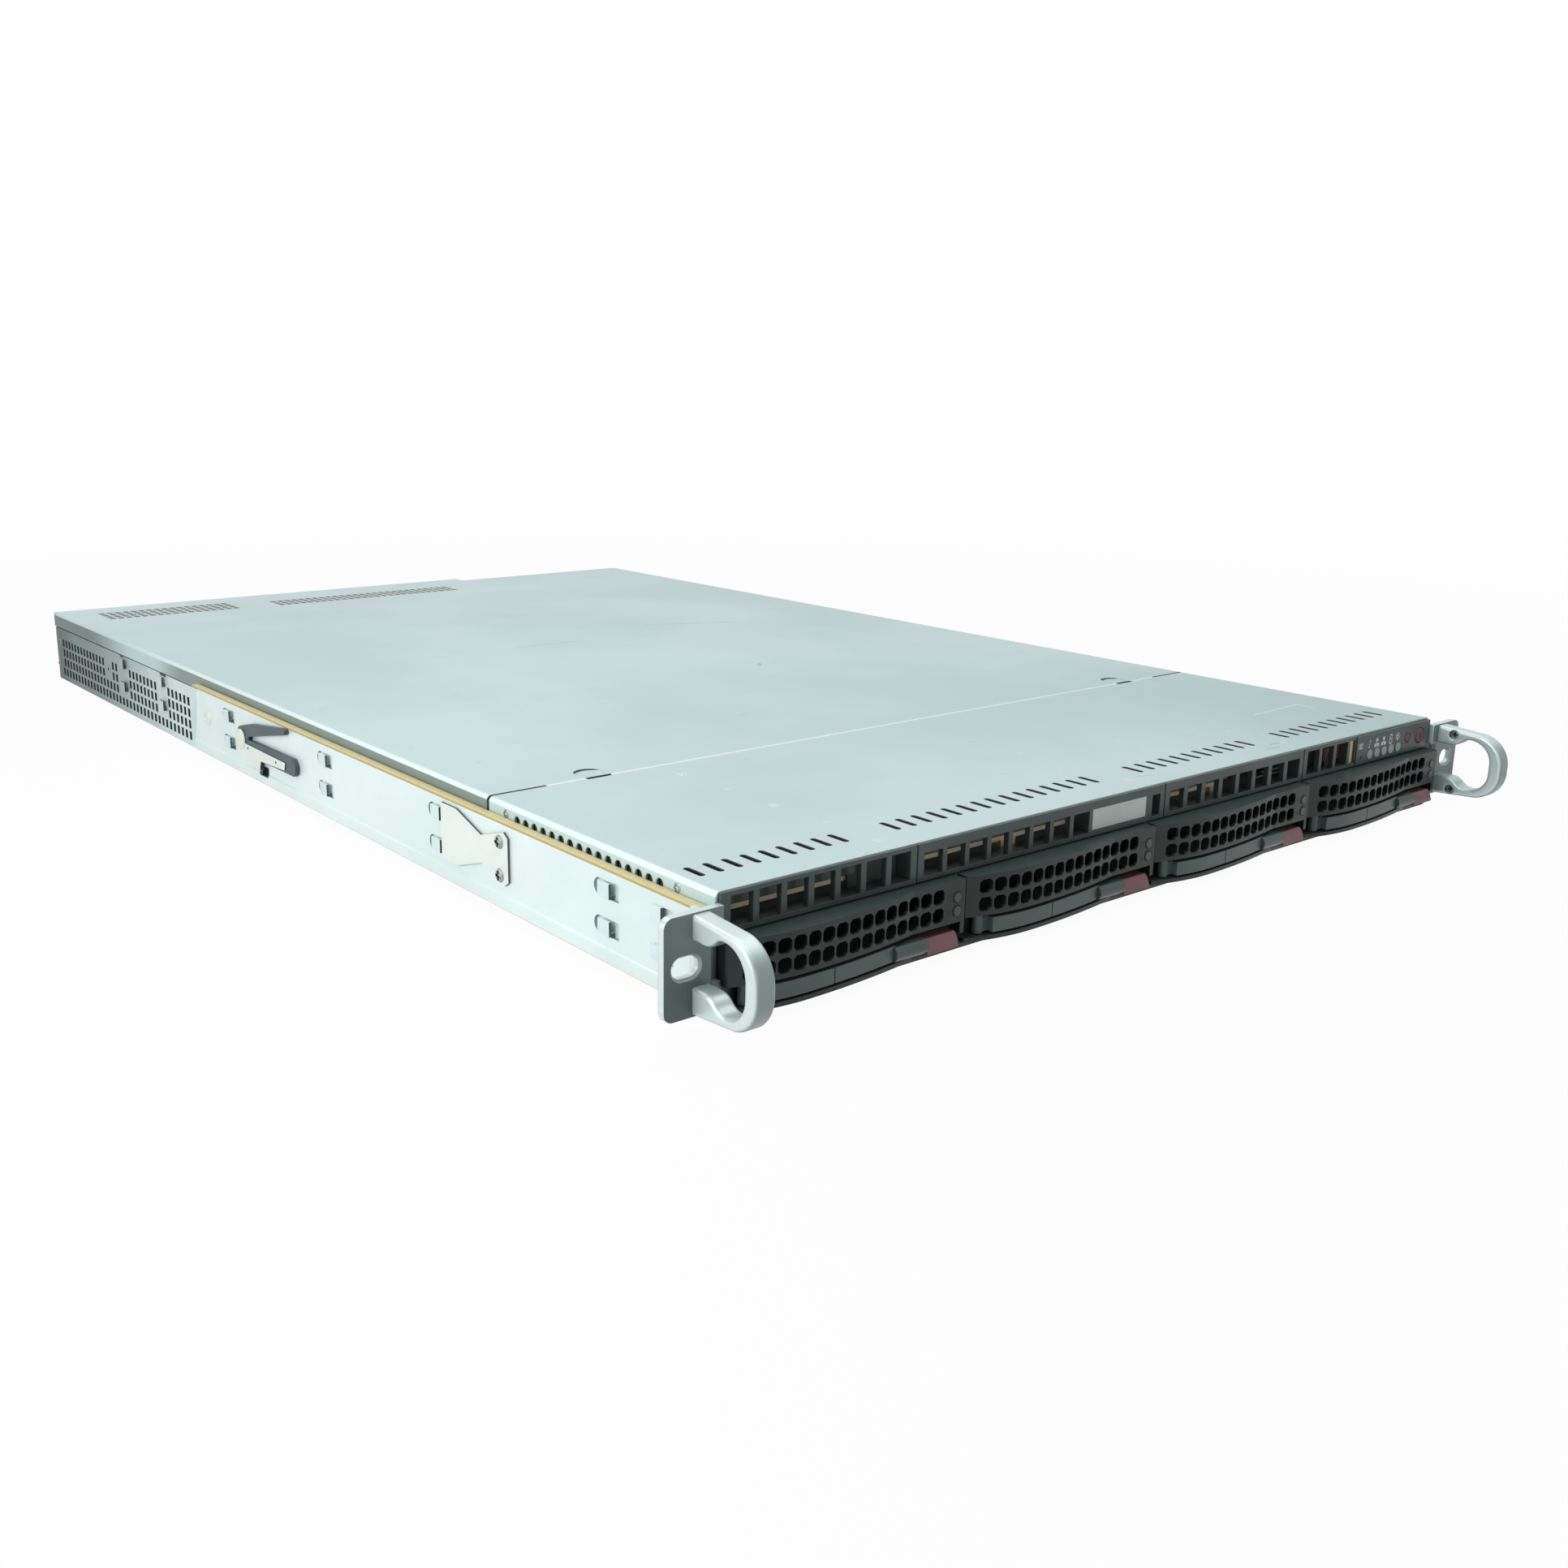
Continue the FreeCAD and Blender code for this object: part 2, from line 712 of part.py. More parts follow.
def make_chassis():
    tub = prism("tub", "XZ", (wall_start, tub_back), wall_outline())
    apron = block("apron", (-half, half), (front - floor_lead, wall_start), (zero, tray_wall))
    notch = block("supply_notch", (supply_left, half + 1), (supply_back, back + 1), (zero - 1, body_height))
    strip_seat = block(
        "strip_seat", (-half - 1, half + 1), (front, strip_back + fit_gap), (cage_low, body_height)
    )
    vents = [
        side_vents("vents_low", vents_front, 38, 0, 1),
        side_vents("vents_front_rows", vents_front, 6, 1, 3),
        side_vents("vents_middle_rows", vents_middle, 8, 1, 3),
        side_vents("vents_back_rows", vents_back, 14, 1, 3),
        side_vents("vents_pair", vents_back - side_pitch * 4, 2, 2, 2),
        side_vents("vents_step", vents_back - side_pitch * 4, 4, 1, 1),
    ]
    shell = cut("tub_open", join("tub_whole", tub, apron), group("tub_cuts", notch, strip_seat, *vents))
    pieces = hooks(1) + hooks(-1) + free_loops() + [board_standoffs()]
    finish("chassis_tub", join("chassis", shell, *pieces))


# The covers: bent sheets whose skirts come down outside the joggled walls

def cover_outline():
    inner_bend = cover_bend - cover_wall
    skirt = half - cover_wall
    return [
        (-half, skirt_low),
        (-skirt, skirt_low),
        (-skirt, body_height - cover_bend),
        (-skirt + inner_bend, cover_under, inner_bend, -1),
        (skirt - inner_bend, cover_under),
        (skirt, body_height - cover_bend, inner_bend, -1),
        (skirt, skirt_low),
        (half, skirt_low),
        (half, body_height - cover_bend),
        (half - cover_bend, body_height, cover_bend, 1),
        (cover_bend - half, body_height),
        (-half, body_height - cover_bend, cover_bend, 1),
    ]


def cover_vents(name, first, count):
    left = first - half
    start = front + cover_vent_start
    outline = octagon_slot((left, left + cover_vent_width), (start, start + cover_vent_length))
    return repeat(prism(name, "XY", (cover_under - 1, body_height + 1), outline), ("X", count, cover_vent_pitch))


def skirt_holes():
    middle = body_height - skirt_hole_drop
    across = (skirt_hole_first - skirt_hole_radius, skirt_hole_first + skirt_hole_radius)
    outline = octagon_slot(across, (middle - skirt_hole_radius, middle + skirt_hole_radius))
    holes = prism("skirt_holes", "YZ", (-half - 1, half + 1), outline)
    return repeat(holes, ("Y", 16, skirt_hole_pitch))


def make_front_cover():
    sheet_metal = prism("front_sheet", "XZ", (cover_front, seam - seam_gap / 2), cover_outline())
    slots = []
    for index, side in enumerate((-1, 1)):
        middle = side * seam_slot_place
        slots.append(
            block(
                f"seam_slot_{index}",
                (middle - seam_slot_length / 2, middle + seam_slot_length / 2),
                (seam - seam_gap / 2 - seam_slot_width, seam),
                (cover_under - 1, body_height + 1),
            )
        )
    vents = [
        cover_vents("top_vents_first", cover_vent_first, 9),
        cover_vents("top_vents_second", cover_vent_second, 15),
        cover_vents("top_vents_third", cover_vent_third, 11),
        cover_vents("top_vents_fourth", cover_vent_fourth, 11),
    ]
    finish("front_cover", cut("front_lid", sheet_metal, group("lid_cuts", *slots, skirt_holes(), *vents)))


def make_rear_cover():
    start = seam + seam_gap / 2
    sheet_metal = prism("rear_sheet", "XZ", (start, back - cover_wall), cover_outline())
    flange = block("rear_flange", (-half, supply_left), (back - cover_wall, back), (skirt_low, body_height))
    notch = block("cover_notch", (supply_left, half + 1), (supply_back, back + 1), (skirt_low - 1, body_height + 1))
    dishes = []
    for index, side in enumerate((-1, 1)):
        place = (side * thumb_place, seam + thumb_back)
        dish = rod(f"thumb_dish_{index}", "Z", place, (body_height - thumb_depth, body_height + 1), thumb_radius)
        slit = block(
            f"thumb_slit_{index}",
            (place[0] - thumb_radius / 2, place[0] + thumb_radius / 2),
            (place[1] - thumb_radius + 1, place[1] - thumb_radius + 1 + thumb_slit),
            (cover_under - 1, body_height),
        )
        dishes += [dish, slit]
    finish("rear_cover", cut("rear_lid", join("rear_bent", sheet_metal, flange), notch, group("dishes", *dishes)))


# The black front strip with its row of open cells

def cell_openings(name, place, width, height, count, pitch):
    across = (place - half, place - half + width)
    outline = rectangle(across, (cell_low, cell_low + height))
    row_of_cells = prism(name, "XZ", (front - 1, front + strip_face + 1), outline)
    return repeat(row_of_cells, ("X", count, pitch)) if count > 1 else row_of_cells


# One group of cells with the hollow behind its bars. A web closes the top of the hollow, but for
# the last cells.
def cell_group(name, place, height, count, pitch, webbed):
    left = place - half
    right = left + pitch * (count - 1) + cell_width
    web_end = left + pitch * webbed
    web_low = brace_low + brace_height + fit_gap
    web_face = strip_back - strip_web
    pieces = [
        cell_openings(f"cells_{name}", place, cell_width, height, count, pitch),
        block(f"hollow_{name}", (left, right), (front + strip_face, web_face), (cell_low, cell_low + height)),
        block(f"view_{name}", (left, right), (web_face - 0.5, strip_back + 1), (cell_low, web_low)),
    ]
    if webbed < count:
        span = (web_face - 0.5, strip_back + 1)
        pieces.append(block(f"open_{name}", (web_end, right), span, (cell_low, cell_low + height)))
    return pieces


def make_front_strip():
    across = (-wall_inner, wall_inner)
    bar = block("strip_bar", across, (front, strip_back), (strip_low, cover_under - fit_gap))
    lip = block("strip_top_lip", across, (front, front + strip_lip), (strip_low, body_height - fit_gap))
    openings = [
        *cell_group("first", cells_first, cell_tall, 7, cells_first_pitch, 5),
        *cell_group("second", cells_second, cell_height, 8, cells_second_pitch, 8),
        *cell_group("third", cells_third, cell_height, 8, cells_third_pitch, 4),
        *cell_group("fourth", cells_fourth, cell_tall, 3, cells_fourth_pitch, 0),
    ]
    narrow = rectangle(
        (cell_narrow_place - half, cell_narrow_place - half + cell_narrow),
        (cell_low, cell_low + cell_height),
    )
    openings.append(prism("cell_beside_badge", "XZ", (front - 1, strip_back + 1), narrow))
    upright = (upright_place - half - fit_gap, upright_place - half + upright_width + fit_gap)
    slit = rectangle(upright, (cell_low, cell_low + cell_tall))
    openings.append(prism("upright_opening", "XZ", (front - 1, strip_back + 1), slit))
    badge = block(
        "badge_seat",
        (badge_left - half, badge_left - half + badge_width),
        (front - 1, front + badge_wall),
        (badge_low, badge_low + badge_height),
    )
    panel = block(
        "panel_seat",
        (panel_left - half - slide_gap / 2, half),
        (front - 1, strip_back + 1),
        (panel_low - slide_gap / 2, body_height),
    )
    seams = []
    for index, place in enumerate((seam_first, seam_second, seam_third)):
        left = place - half - strip_seam / 2
        seams.append(
            block(f"strip_seam_{index}", (left, left + strip_seam), (front - 1, front + 0.8), (strip_low - 1, body_height))
        )
    tools = group("strip_cuts", *openings, badge, panel)
    finish("front_strip", cut("strip", join("strip_whole", bar, lip), tools, group("strip_seams", *seams)))


def make_badge_plate():
    plate = block(
        "badge",
        (badge_left - half, badge_left - half + badge_width),
        (front, front + badge_wall),
        (badge_low, badge_low + badge_height),
    )
    finish("badge_plate", plate)


# The bar behind the cells on its feet, and the upright beside the panel
def make_front_brace():
    start = strip_back + fit_gap * 2 + cage_wall
    floor = cage_low + cage_wall
    right = brace_end - half
    pieces = [block("brace", (-jog_inner, right), (start, start + brace_wall), (brace_low, brace_low + brace_height))]
    for index, place in enumerate((-jog_inner, (right - jog_inner) / 2, right - brace_foot)):
        foot = (place, place + brace_foot)
        pieces.append(block(f"brace_leg_{index}", foot, (start, start + brace_wall), (floor, brace_low + 1)))
        pieces.append(block(f"brace_foot_{index}", foot, (start, start + brace_foot), (floor, floor + brace_wall)))
    upright = block(
        "upright",
        (upright_place - half, upright_place - half + upright_width),
        (front + strip_lip, strip_back),
        (cell_low, cell_low + cell_tall - fit_gap),
    )
    finish("front_brace", group("braces", join("brace_whole", *pieces), upright))


# The sockets seen through the last cells stand on the ceiling of the drive cage
def make_front_sockets():
    start = strip_back + fit_gap * 2 + cage_wall
    first = cells_fourth + cells_fourth_pitch - half
    floor = cage_low + cage_wall
    outline = rectangle((first, first + socket_width), (floor, floor + cell_tall))
    body = prism("socket_body", "XZ", (start, start + 10), outline)
    keys = rectangle((first + socket_width - 2.2, first + socket_width - 0.8), (floor + 5, floor + 6.4))
    tool = prism("socket_keys", "XZ", (start - 1, start + 8), keys)
    finish("front_sockets", cut("sockets", body, repeat(tool, ("Z", 2, 2.4))))


# The control panel with its lamps and buttons

def lamp_tool(name, radius, span):
    place = (lamp_left - half, lamp_height)
    return repeat(prism(name, "XZ", span, ring(place, radius)), ("X", 5, lamp_pitch))


def make_control_panel():
    left = panel_left - half
    face_plane = front - panel_proud
    face_plate = block(
        "panel_face",
        (left, left + panel_width),
        (face_plane, front + strip_lip),
        (panel_low, panel_low + panel_height),
    )
    box = block(
        "panel_box",
        (left + panel_margin, left + panel_width - panel_margin),
        (face_plane, front + panel_depth),
        (panel_low, cover_under - slide_gap),
    )
    deep = face_plane + button_depth + button_travel + fit_gap
    bores = [
        rod("power_bore", "Y", (power_left - half, power_height), (face_plane - 1, deep), power_radius + button_gap),
        rod("reset_bore", "Y", (reset_left - half, reset_height), (face_plane - 1, deep), reset_radius + button_gap),
    ]
    lamps = lamp_tool("lamp_bores", lamp_radius, (face_plane - 1, front + strip_lip))
    finish("control_panel", cut("panel", join("panel_whole", face_plate, box), group("bores", *bores), lamps))


def make_panel_lamps():
    finish("panel_lamps", lamp_tool("lamps", lamp_radius, (front - panel_proud - fit_gap, front + strip_lip)))


# A push button turned about its own axis, with a dished face
def make_button(name, left, height, radius, edge):
    body = document.addObject("PartDesign::Body", name)
    sketch = body.newObject("Sketcher::SketchObject", name + "_profile")
    sketch.AttachmentSupport = [(origin_feature(body, "XY_Plane"), "")]
    sketch.MapMode = "FlatFace"
    start = front - panel_proud - fit_gap
    end = front - panel_proud + button_depth
    profile = [
        (zero, start + edge),
        (radius - edge, start),
        (radius, start + edge),
        (radius, end),
        (zero, end),
    ]
    draw_outline(sketch, profile)
    turned = body.newObject("PartDesign::Revolution", name + "_turned")
    turned.Profile = sketch
    turned.ReferenceAxis = (origin_feature(body, "Y_Axis"), [""])
    turned.Angle = 360
    body.Tip = turned
    bind(body, "Placement.Base.x", left - half)
    bind(body, "Placement.Base.z", height)
    finish(name, body)


# The ears, each cast in one piece with its handle

def flange_outline():
    outer = rack_width / 2
    return [
        (wall_inner + slide_gap, ear_high),
        (wall_inner + slide_gap, ear_neck_high),
        (rail_face, ear_neck_high),
        (rail_face, ear_neck_low),
        (half + fit_gap, ear_neck_low),
        (half + fit_gap, ear_low),
        (outer - ear_corner, ear_low),
        (outer, ear_low + ear_corner, ear_corner, 1),
        (outer, ear_high - ear_corner),
        (outer - ear_corner, ear_high, ear_corner, 1),
    ]


# An S-shaped step between two level places: half the step, and the radius of its two arcs.
def step_radius(run, rise):
    return (run * run + rise * rise) / (4 * rise)


def handle_outline():
    root_place = -ear_wall + 0.5
    reach = -handle_reach
    inner_reach = reach + grip_bar
    top_centre = reach + handle_top_bend
    low_centre = reach + handle_low_bend
    grip_top_end = inner_reach + grip_top_bend
    grip_low_end = inner_reach + grip_low_bend
    grip_root_place = -ear_wall - grip_root
    high_middle = (grip_top_end + grip_root_place) / 2
    low_middle = (grip_low_end + grip_root_place) / 2
    high_step = step_radius(grip_root_place - grip_top_end, grip_step_high)
    low_step = step_radius(grip_root_place - grip_low_end, grip_step_low)
    return [
        (root_place, handle_high + handle_taper),
        (top_centre, handle_high),
        (reach, handle_high - handle_top_bend, handle_top_bend, 1),
        (reach, handle_low + handle_low_bend),
        (low_centre, handle_low, handle_low_bend, 1),
        (root_place, handle_low - handle_taper),
        (root_place, grip_bottom + grip_step_low),
        (grip_root_place, grip_bottom + grip_step_low),
        (low_middle, grip_bottom + grip_step_low / 2, low_step, 1),
        (grip_low_end, grip_bottom, low_step, -1),
        (inner_reach, grip_bottom + grip_low_bend, grip_low_bend, -1),
        (inner_reach, grip_top - grip_top_bend),
        (grip_top_end, grip_top, grip_top_bend, -1),
        (high_middle, grip_top - grip_step_high / 2, high_step, -1),
        (grip_root_place, grip_top - grip_step_high, high_step, 1),
        (root_place, grip_top - grip_step_high),
    ]


def make_ears():
    flange = prism("ear_flange", "XZ", (-ear_wall, zero), flange_outline())
    handle = prism("ear_handle", "YZ", (rail_face, rail_face + handle_wall), handle_outline())
    pad = handle.Tip
    document.recompute()
    sides = [
        f"Face{index + 1}"
        for index, face in enumerate(pad.Shape.Faces)
        if face.Surface.TypeId == "Part::GeomPlane" and abs(face.normalAt(0, 0).x) > 0.99
    ]
    rounded = handle.newObject("PartDesign::Fillet", "handle_rounding")
    rounded.Base = (pad, sides)
    bind(rounded, "Radius", handle_round)
    handle.Tip = rounded
    plate = block(
        "ear_plate",
        (half + fit_gap, half + fit_gap + ear_plate_wall),
        (zero - 0.5, ear_plate_length),
        (ear_low + 1, wall_height - 1),
    )
    rib = block(
        "ear_rib",
        (rail_face + fit_gap, rail_face + fit_gap + ear_rib_wall),
        (zero - 0.5, ear_rib_depth),
        (rail_low + rail_lip_height + 1, ear_high - 1),
    )
    across = (rack_hole_spacing / 2 - rack_slot_length / 2, rack_hole_spacing / 2 + rack_slot_length / 2)
    up = (rack_hole_height - rack_hole_radius, rack_hole_height + rack_hole_radius)
    rack_slot = prism("rack_slot", "XZ", (-ear_wall - 1, zero + 1), slot(across, up))
    bevel = prism("slot_bevel", "XZ", (-ear_wall, ear_bevel - ear_wall), slot(across, up), draft=45)
    bolts = []
    for index, (reach, up) in enumerate(
        ((-handle_bolt_reach, handle_bolt_high), (-handle_bolt_reach - 1, handle_bolt_low))
    ):
        depth = (rail_face - 1, rail_face + handle_bolt_depth)
        bolts.append(rod(f"handle_bolt_{index}", "X", (reach, up), depth, handle_bolt_radius))
    whole = join("ear_whole", flange, handle, plate, rib)
    ear = cut("ear_casting", whole, rack_slot, bevel, group("ear_bolts", *bolts))
    finish("ear_right", ear)
    finish("ear_left", mirrored("ear_casting_left", ear))


# The inner rails: rolled channels with windows for the hooks

def rail_outline():
    outer = rail_face
    inner = outer - rail_wall
    edge = half + fit_gap
    bend = rail_low + rail_lip_height
    proud = rail_lip_proud
    return [
        (edge, rail_high),
        (edge, rail_high - rail_wall),
        (inner, rail_high - rail_wall),
        (inner, bend),
        (inner + proud, bend - proud),
        (inner + proud, rail_low + rail_wall),
        (edge, rail_low + rail_wall),
        (edge, rail_low),
        (outer + proud, rail_low),
        (outer + proud, bend - proud),
        (outer, bend),
        (outer, rail_high),
    ]


def rail_windows():
    tools = []
    web = (half + 1, rail_face + 1)
    for index, place in enumerate((hook_first, hook_second, hook_third, hook_fourth)):
        for level in range(2):
            low = hook_low + hook_rise * level - slide_gap
            high = low + hook_height + slide_gap * 2
            radius = (high - low) / 2
            end = place + hook_length + window_behind
            outline = [
                (place - window_before, low),
                (end - radius, low),
                (end - radius, high, radius, 1),
                (place - window_before, high),
            ]
            tools.append(prism(f"window_{index}_{level}", "YZ", web, outline))
    for level in range(2):
        low = hook_low + hook_rise * level
        keyhole = (keyhole_place, keyhole_place + keyhole_length)
        tools.append(block(f"keyhole_{level}", web, keyhole, (low, low + hook_height)))
    low = rail_low + rail_lip_height
    window = (rail_window_place, rail_window_place + hook_length + 3)
    tools.append(block("lever_window", (web[0], web[1] + 1), window, (low - 1.8, low + 3.6)))
    return group("windows", *tools)


def make_rails():
    bar = prism("rail_bar", "XZ", (rail_start, rail_length), rail_outline())
    slanted_end = [
        (rail_length - rail_slant, rail_high + 1),
        (rail_length, rail_low - 1),
        (rail_length + 1, rail_low - 1),
        (rail_length + 1, rail_high + 1),
    ]
    slant = prism("rail_slant_cut", "YZ", (half, rail_face + 2), slanted_end)
    bore = rod("rail_lever_hole", "X", (lever_pivot, lever_height), (half + 1, rail_face + 1), lever_pin)
    rail = cut("rail", bar, slant, rail_windows(), bore)
    finish("rail_right", rail)
    finish("rail_left", mirrored("rail_mirrored", rail))


# The release lever on each rail: two arms about one rivet
def make_rail_levers():
    place, up = lever_pivot, lever_height
    upper_end = place - lever_upper_reach
    lower_end = place - lever_lower_reach
    boss = lever_boss
    outline = [
        (place, up + boss, boss + 0.2, 1),
        (place - 13, up + boss + 3),
        (upper_end, up + boss + 8),
        (upper_end, up + boss + 5, 1.6, 1),
        (place - 10, up + 3),
        (place - 8, up + 1),
        (lower_end + 7, up + 1.8),
        (lower_end + 6, up - 6.4, 4.4, 1),
        (place - 22, up - 6.6),
        (place - 20, up - 12),
        (place + 1, up - boss),
    ]
    span = (rail_face + fit_gap, rail_face + fit_gap + lever_wall)
    arm = prism("lever_arm", "YZ", span, outline)
    bore = rod("lever_bore", "X", (place, up), (span[0] - 1, span[1] + 1), lever_pin + pin_gap)
    lever = cut("rail_lever", arm, bore)
    finish("rail_lever_right", lever)
    finish("rail_lever_left", mirrored("rail_lever_mirrored", lever))


# Leaf springs: waisted plates screwed to the rail at one end
def spring_outline():
    start, end = spring_place, spring_place + spring_length
    middle = (spring_low + spring_high) / 2
    return [
        (start, spring_low + 3),
        (start + 3, spring_low + 1),
        (start + 20, middle - spring_waist),
        (start + 39, spring_low),
        (end, spring_low),
        (end, spring_high),
        (start + 39, spring_high),
        (start + 20, middle + spring_waist),
        (start + 3, spring_high - 1),
        (start, spring_high - 3),
    ]


def make_rail_springs():
    span = (rail_face, rail_face + spring_wall)
    spring = prism("spring_plate", "YZ", span, spring_outline())
    finish("rail_springs", group("springs", spring, mirrored("spring_plate_left", spring)))


# Rivets and screw heads of both rails, and the lever pins
def make_rail_fasteners():
    lever_top = rail_face + fit_gap + lever_wall + fit_gap
    pieces = [
        rod("lever_rivet_pin", "X", (lever_pivot, lever_height), (rail_face - rail_wall, lever_top), lever_pin),
        rod("lever_rivet_head", "X", (lever_pivot, lever_height), (lever_top, lever_top + 1.2), lever_head),
        rod("rail_rivet", "X", (rivet_place, lever_height + 1.3), (rail_face, rail_face + 1.2), rivet_radius),
    ]
    rivet = join("lever_rivet", pieces[0], pieces[1])
    screws = []
    for index, up in enumerate((spring_low + 4.6, spring_high - 5.4)):
        span = (rail_face + spring_wall, rail_face + spring_wall + 1)
        screws.append(rod(f"spring_screw_{index}", "X", (spring_place + 6, up), span, rivet_radius - 1.2))
    right = group("rail_rivets", rivet, pieces[2], *screws)
    finish("rail_fasteners", group("rivets", right, mirrored("rail_rivets_left", right)))


# The drive cage: a ceiling and three dividers with guide ribs

def make_drive_cage():
    ceiling = block(
        "cage_ceiling",
        (-wall_inner + fit_gap, wall_inner - fit_gap),
        (strip_back + fit_gap, bay_depth),
        (cage_low, cage_low + cage_wall),
    )
    left = cells_first + cells_first_pitch * 5 - half
    tab = block(
        "cage_tab",
        (left - 2, left + cells_first_pitch * 2),
        (strip_back + fit_gap, strip_back + fit_gap + cage_wall),
        (cage_low, cell_low + cell_tall),
    )
    hole = rod(
        "cage_tab_hole",
        "Y",
        (left + cells_first_pitch + 3, cell_low + cell_height - 1),
        (strip_back, strip_back + cage_wall * 2),
        cage_wall,
    )
    pieces = [ceiling, cut("cage_tab_open", tab, hole)]
    for index in range(3):
        middle = bay_pitch * (index - 1) - (face_left - face_right) / 2
        wall = (middle - divider_wall / 2, middle + divider_wall / 2)
        pieces.append(block(f"divider_{index}", wall, (front, bay_depth), (tray_wall, cage_low)))
        next_carrier = bay_pitch * (index - 0.5) - drive_width / 2 - drive_gap - carrier_rail
        guide_low = carrier_low + carrier_rail_height + fit_gap
        guide = (wall[1], next_carrier + carrier_rail)
        pieces.append(
            block(f"guide_{index}", guide, (face_rear + 1, bay_depth), (guide_low, guide_low + guide_height))
        )
    finish("drive_cage", join("cage", *pieces))


# The plan outline of a carrier's bowed face, drawn in by a wall
def bow_outline(inset, rear):
    left = inset - face_left
    right = face_right - inset
    end = front - face_end + inset
    peak = front - face_peak + inset
    flat = front - face_flat + inset
    corner_end = end - face_round
    run = -face_peak_place - left - face_round
    rise = corner_end - peak
    steep = (run * run + rise * rise) / (2 * rise)
    long_run = face_flat_place + face_peak_place
    long_rise = flat - peak
    shallow = (long_run * long_run + long_rise * long_rise) / (2 * long_rise)
    return [
        (right, rear),
        (left, rear),
        (left, end),
        (left + face_round, corner_end, face_round, 1),
        (-face_peak_place, peak, steep, 1),
        (face_flat_place, flat, shallow, 1),
        (right, flat),
    ]


def octagon(middle, low, side, corner):
    left, right = middle - side / 2, middle + side / 2
    high = low + side
    return [
        (left + corner, low),
        (right - corner, low),
        (right, low + corner),
        (right, high - corner),
        (right - corner, high),
        (left + corner, high),
        (left, high - corner),
        (left, low + corner),
    ]


def make_face():
    shell = prism("face_shell", "XY", (carrier_low, carrier_high), bow_outline(zero, face_rear))
    hollow = prism(
        "face_hollow",
        "XY",
        (grille_low + 0.8, carrier_high - 1.2),
        bow_outline(face_wall, face_rear + 1),
    )
    nose = front - face_peak - 1
    lip_top = carrier_low + lip_height
    cuts = [
        block("mouth", (-face_left - 1, mouth_right), (nose, mouth), (lip_top, grille_low)),
        block("mouth_corner", (mouth_right - 1, face_right + 1), (nose, mouth), (lip_top, corner_low)),
        block("tab_gap", (scoop_right, face_right + 1), (nose, mouth), (carrier_low + lip_under_tab, lip_top + 1)),
    ]
    hole = octagon(-grille_first, grille_row - grille_hole / 2, grille_hole, grille_cut)
    holes = prism("grille_holes", "XZ", (nose, mouth), hole)
    repeat(holes, ("X", 15, grille_pitch), ("Z", 2, grille_rise))
    lamps = prism("light_holes", "XZ", (nose, mouth), ring((light_place, light_low), light_radius + fit_gap))
    repeat(lamps, ("Z", 2, light_rise))
    pivot = (-grip_pivot, front - grip_pivot_depth)
    pin = rod("grip_pin", "Z", pivot, (lip_top - 1, grille_low + 1), grip_pin)
    return join("face", cut("face_open", shell, hollow, group("mouths", *cuts), holes, lamps), pin)


def make_lights():
    start = front - face_flat - fit_gap
    lens = prism("lens", "XZ", (start, start + light_length), ring((light_place, light_low), light_radius))
    return repeat(lens, ("Z", 2, light_rise))


def make_tray():
    inner = drive_width / 2 + drive_gap
    outer = inner + carrier_rail
    high = carrier_low + carrier_rail_height
    end = face_rear + carrier_length
    pieces = [
        block("tray_front", (-outer, outer), (face_rear, face_rear + carrier_rail), (carrier_low, high)),
        block("tray_left", (-outer, -inner), (face_rear, end), (carrier_low, high)),
        block("tray_right", (inner, outer), (face_rear, end), (carrier_low, high)),
    ]
    opening = rectangle((drive_start + 12, drive_start + 32), (carrier_low + 3, high - 3))
    windows = prism("tray_windows", "YZ", (-outer - 1, outer + 1), opening)
    repeat(windows, ("Y", 3, (drive_length - 44) / 2))
    return cut("tray", join("tray_whole", *pieces), windows)


# The drive itself, with the raised lid and stepped base that such drives have
def make_drive():
    across = (-drive_width / 2, drive_width / 2)
    length = (drive_start, drive_start + drive_length)
    base = block("drive_base", across, length, (drive_low, drive_low + drive_height - 3))
    lid_inset = 3.5
    lid = block(
        "drive_lid",
        (across[0] + lid_inset, across[1] - lid_inset),
        (length[0] + lid_inset, length[1] - lid_inset * 3),
        (drive_low + 1, drive_low + drive_height),
    )
    return join("drive", base, lid)


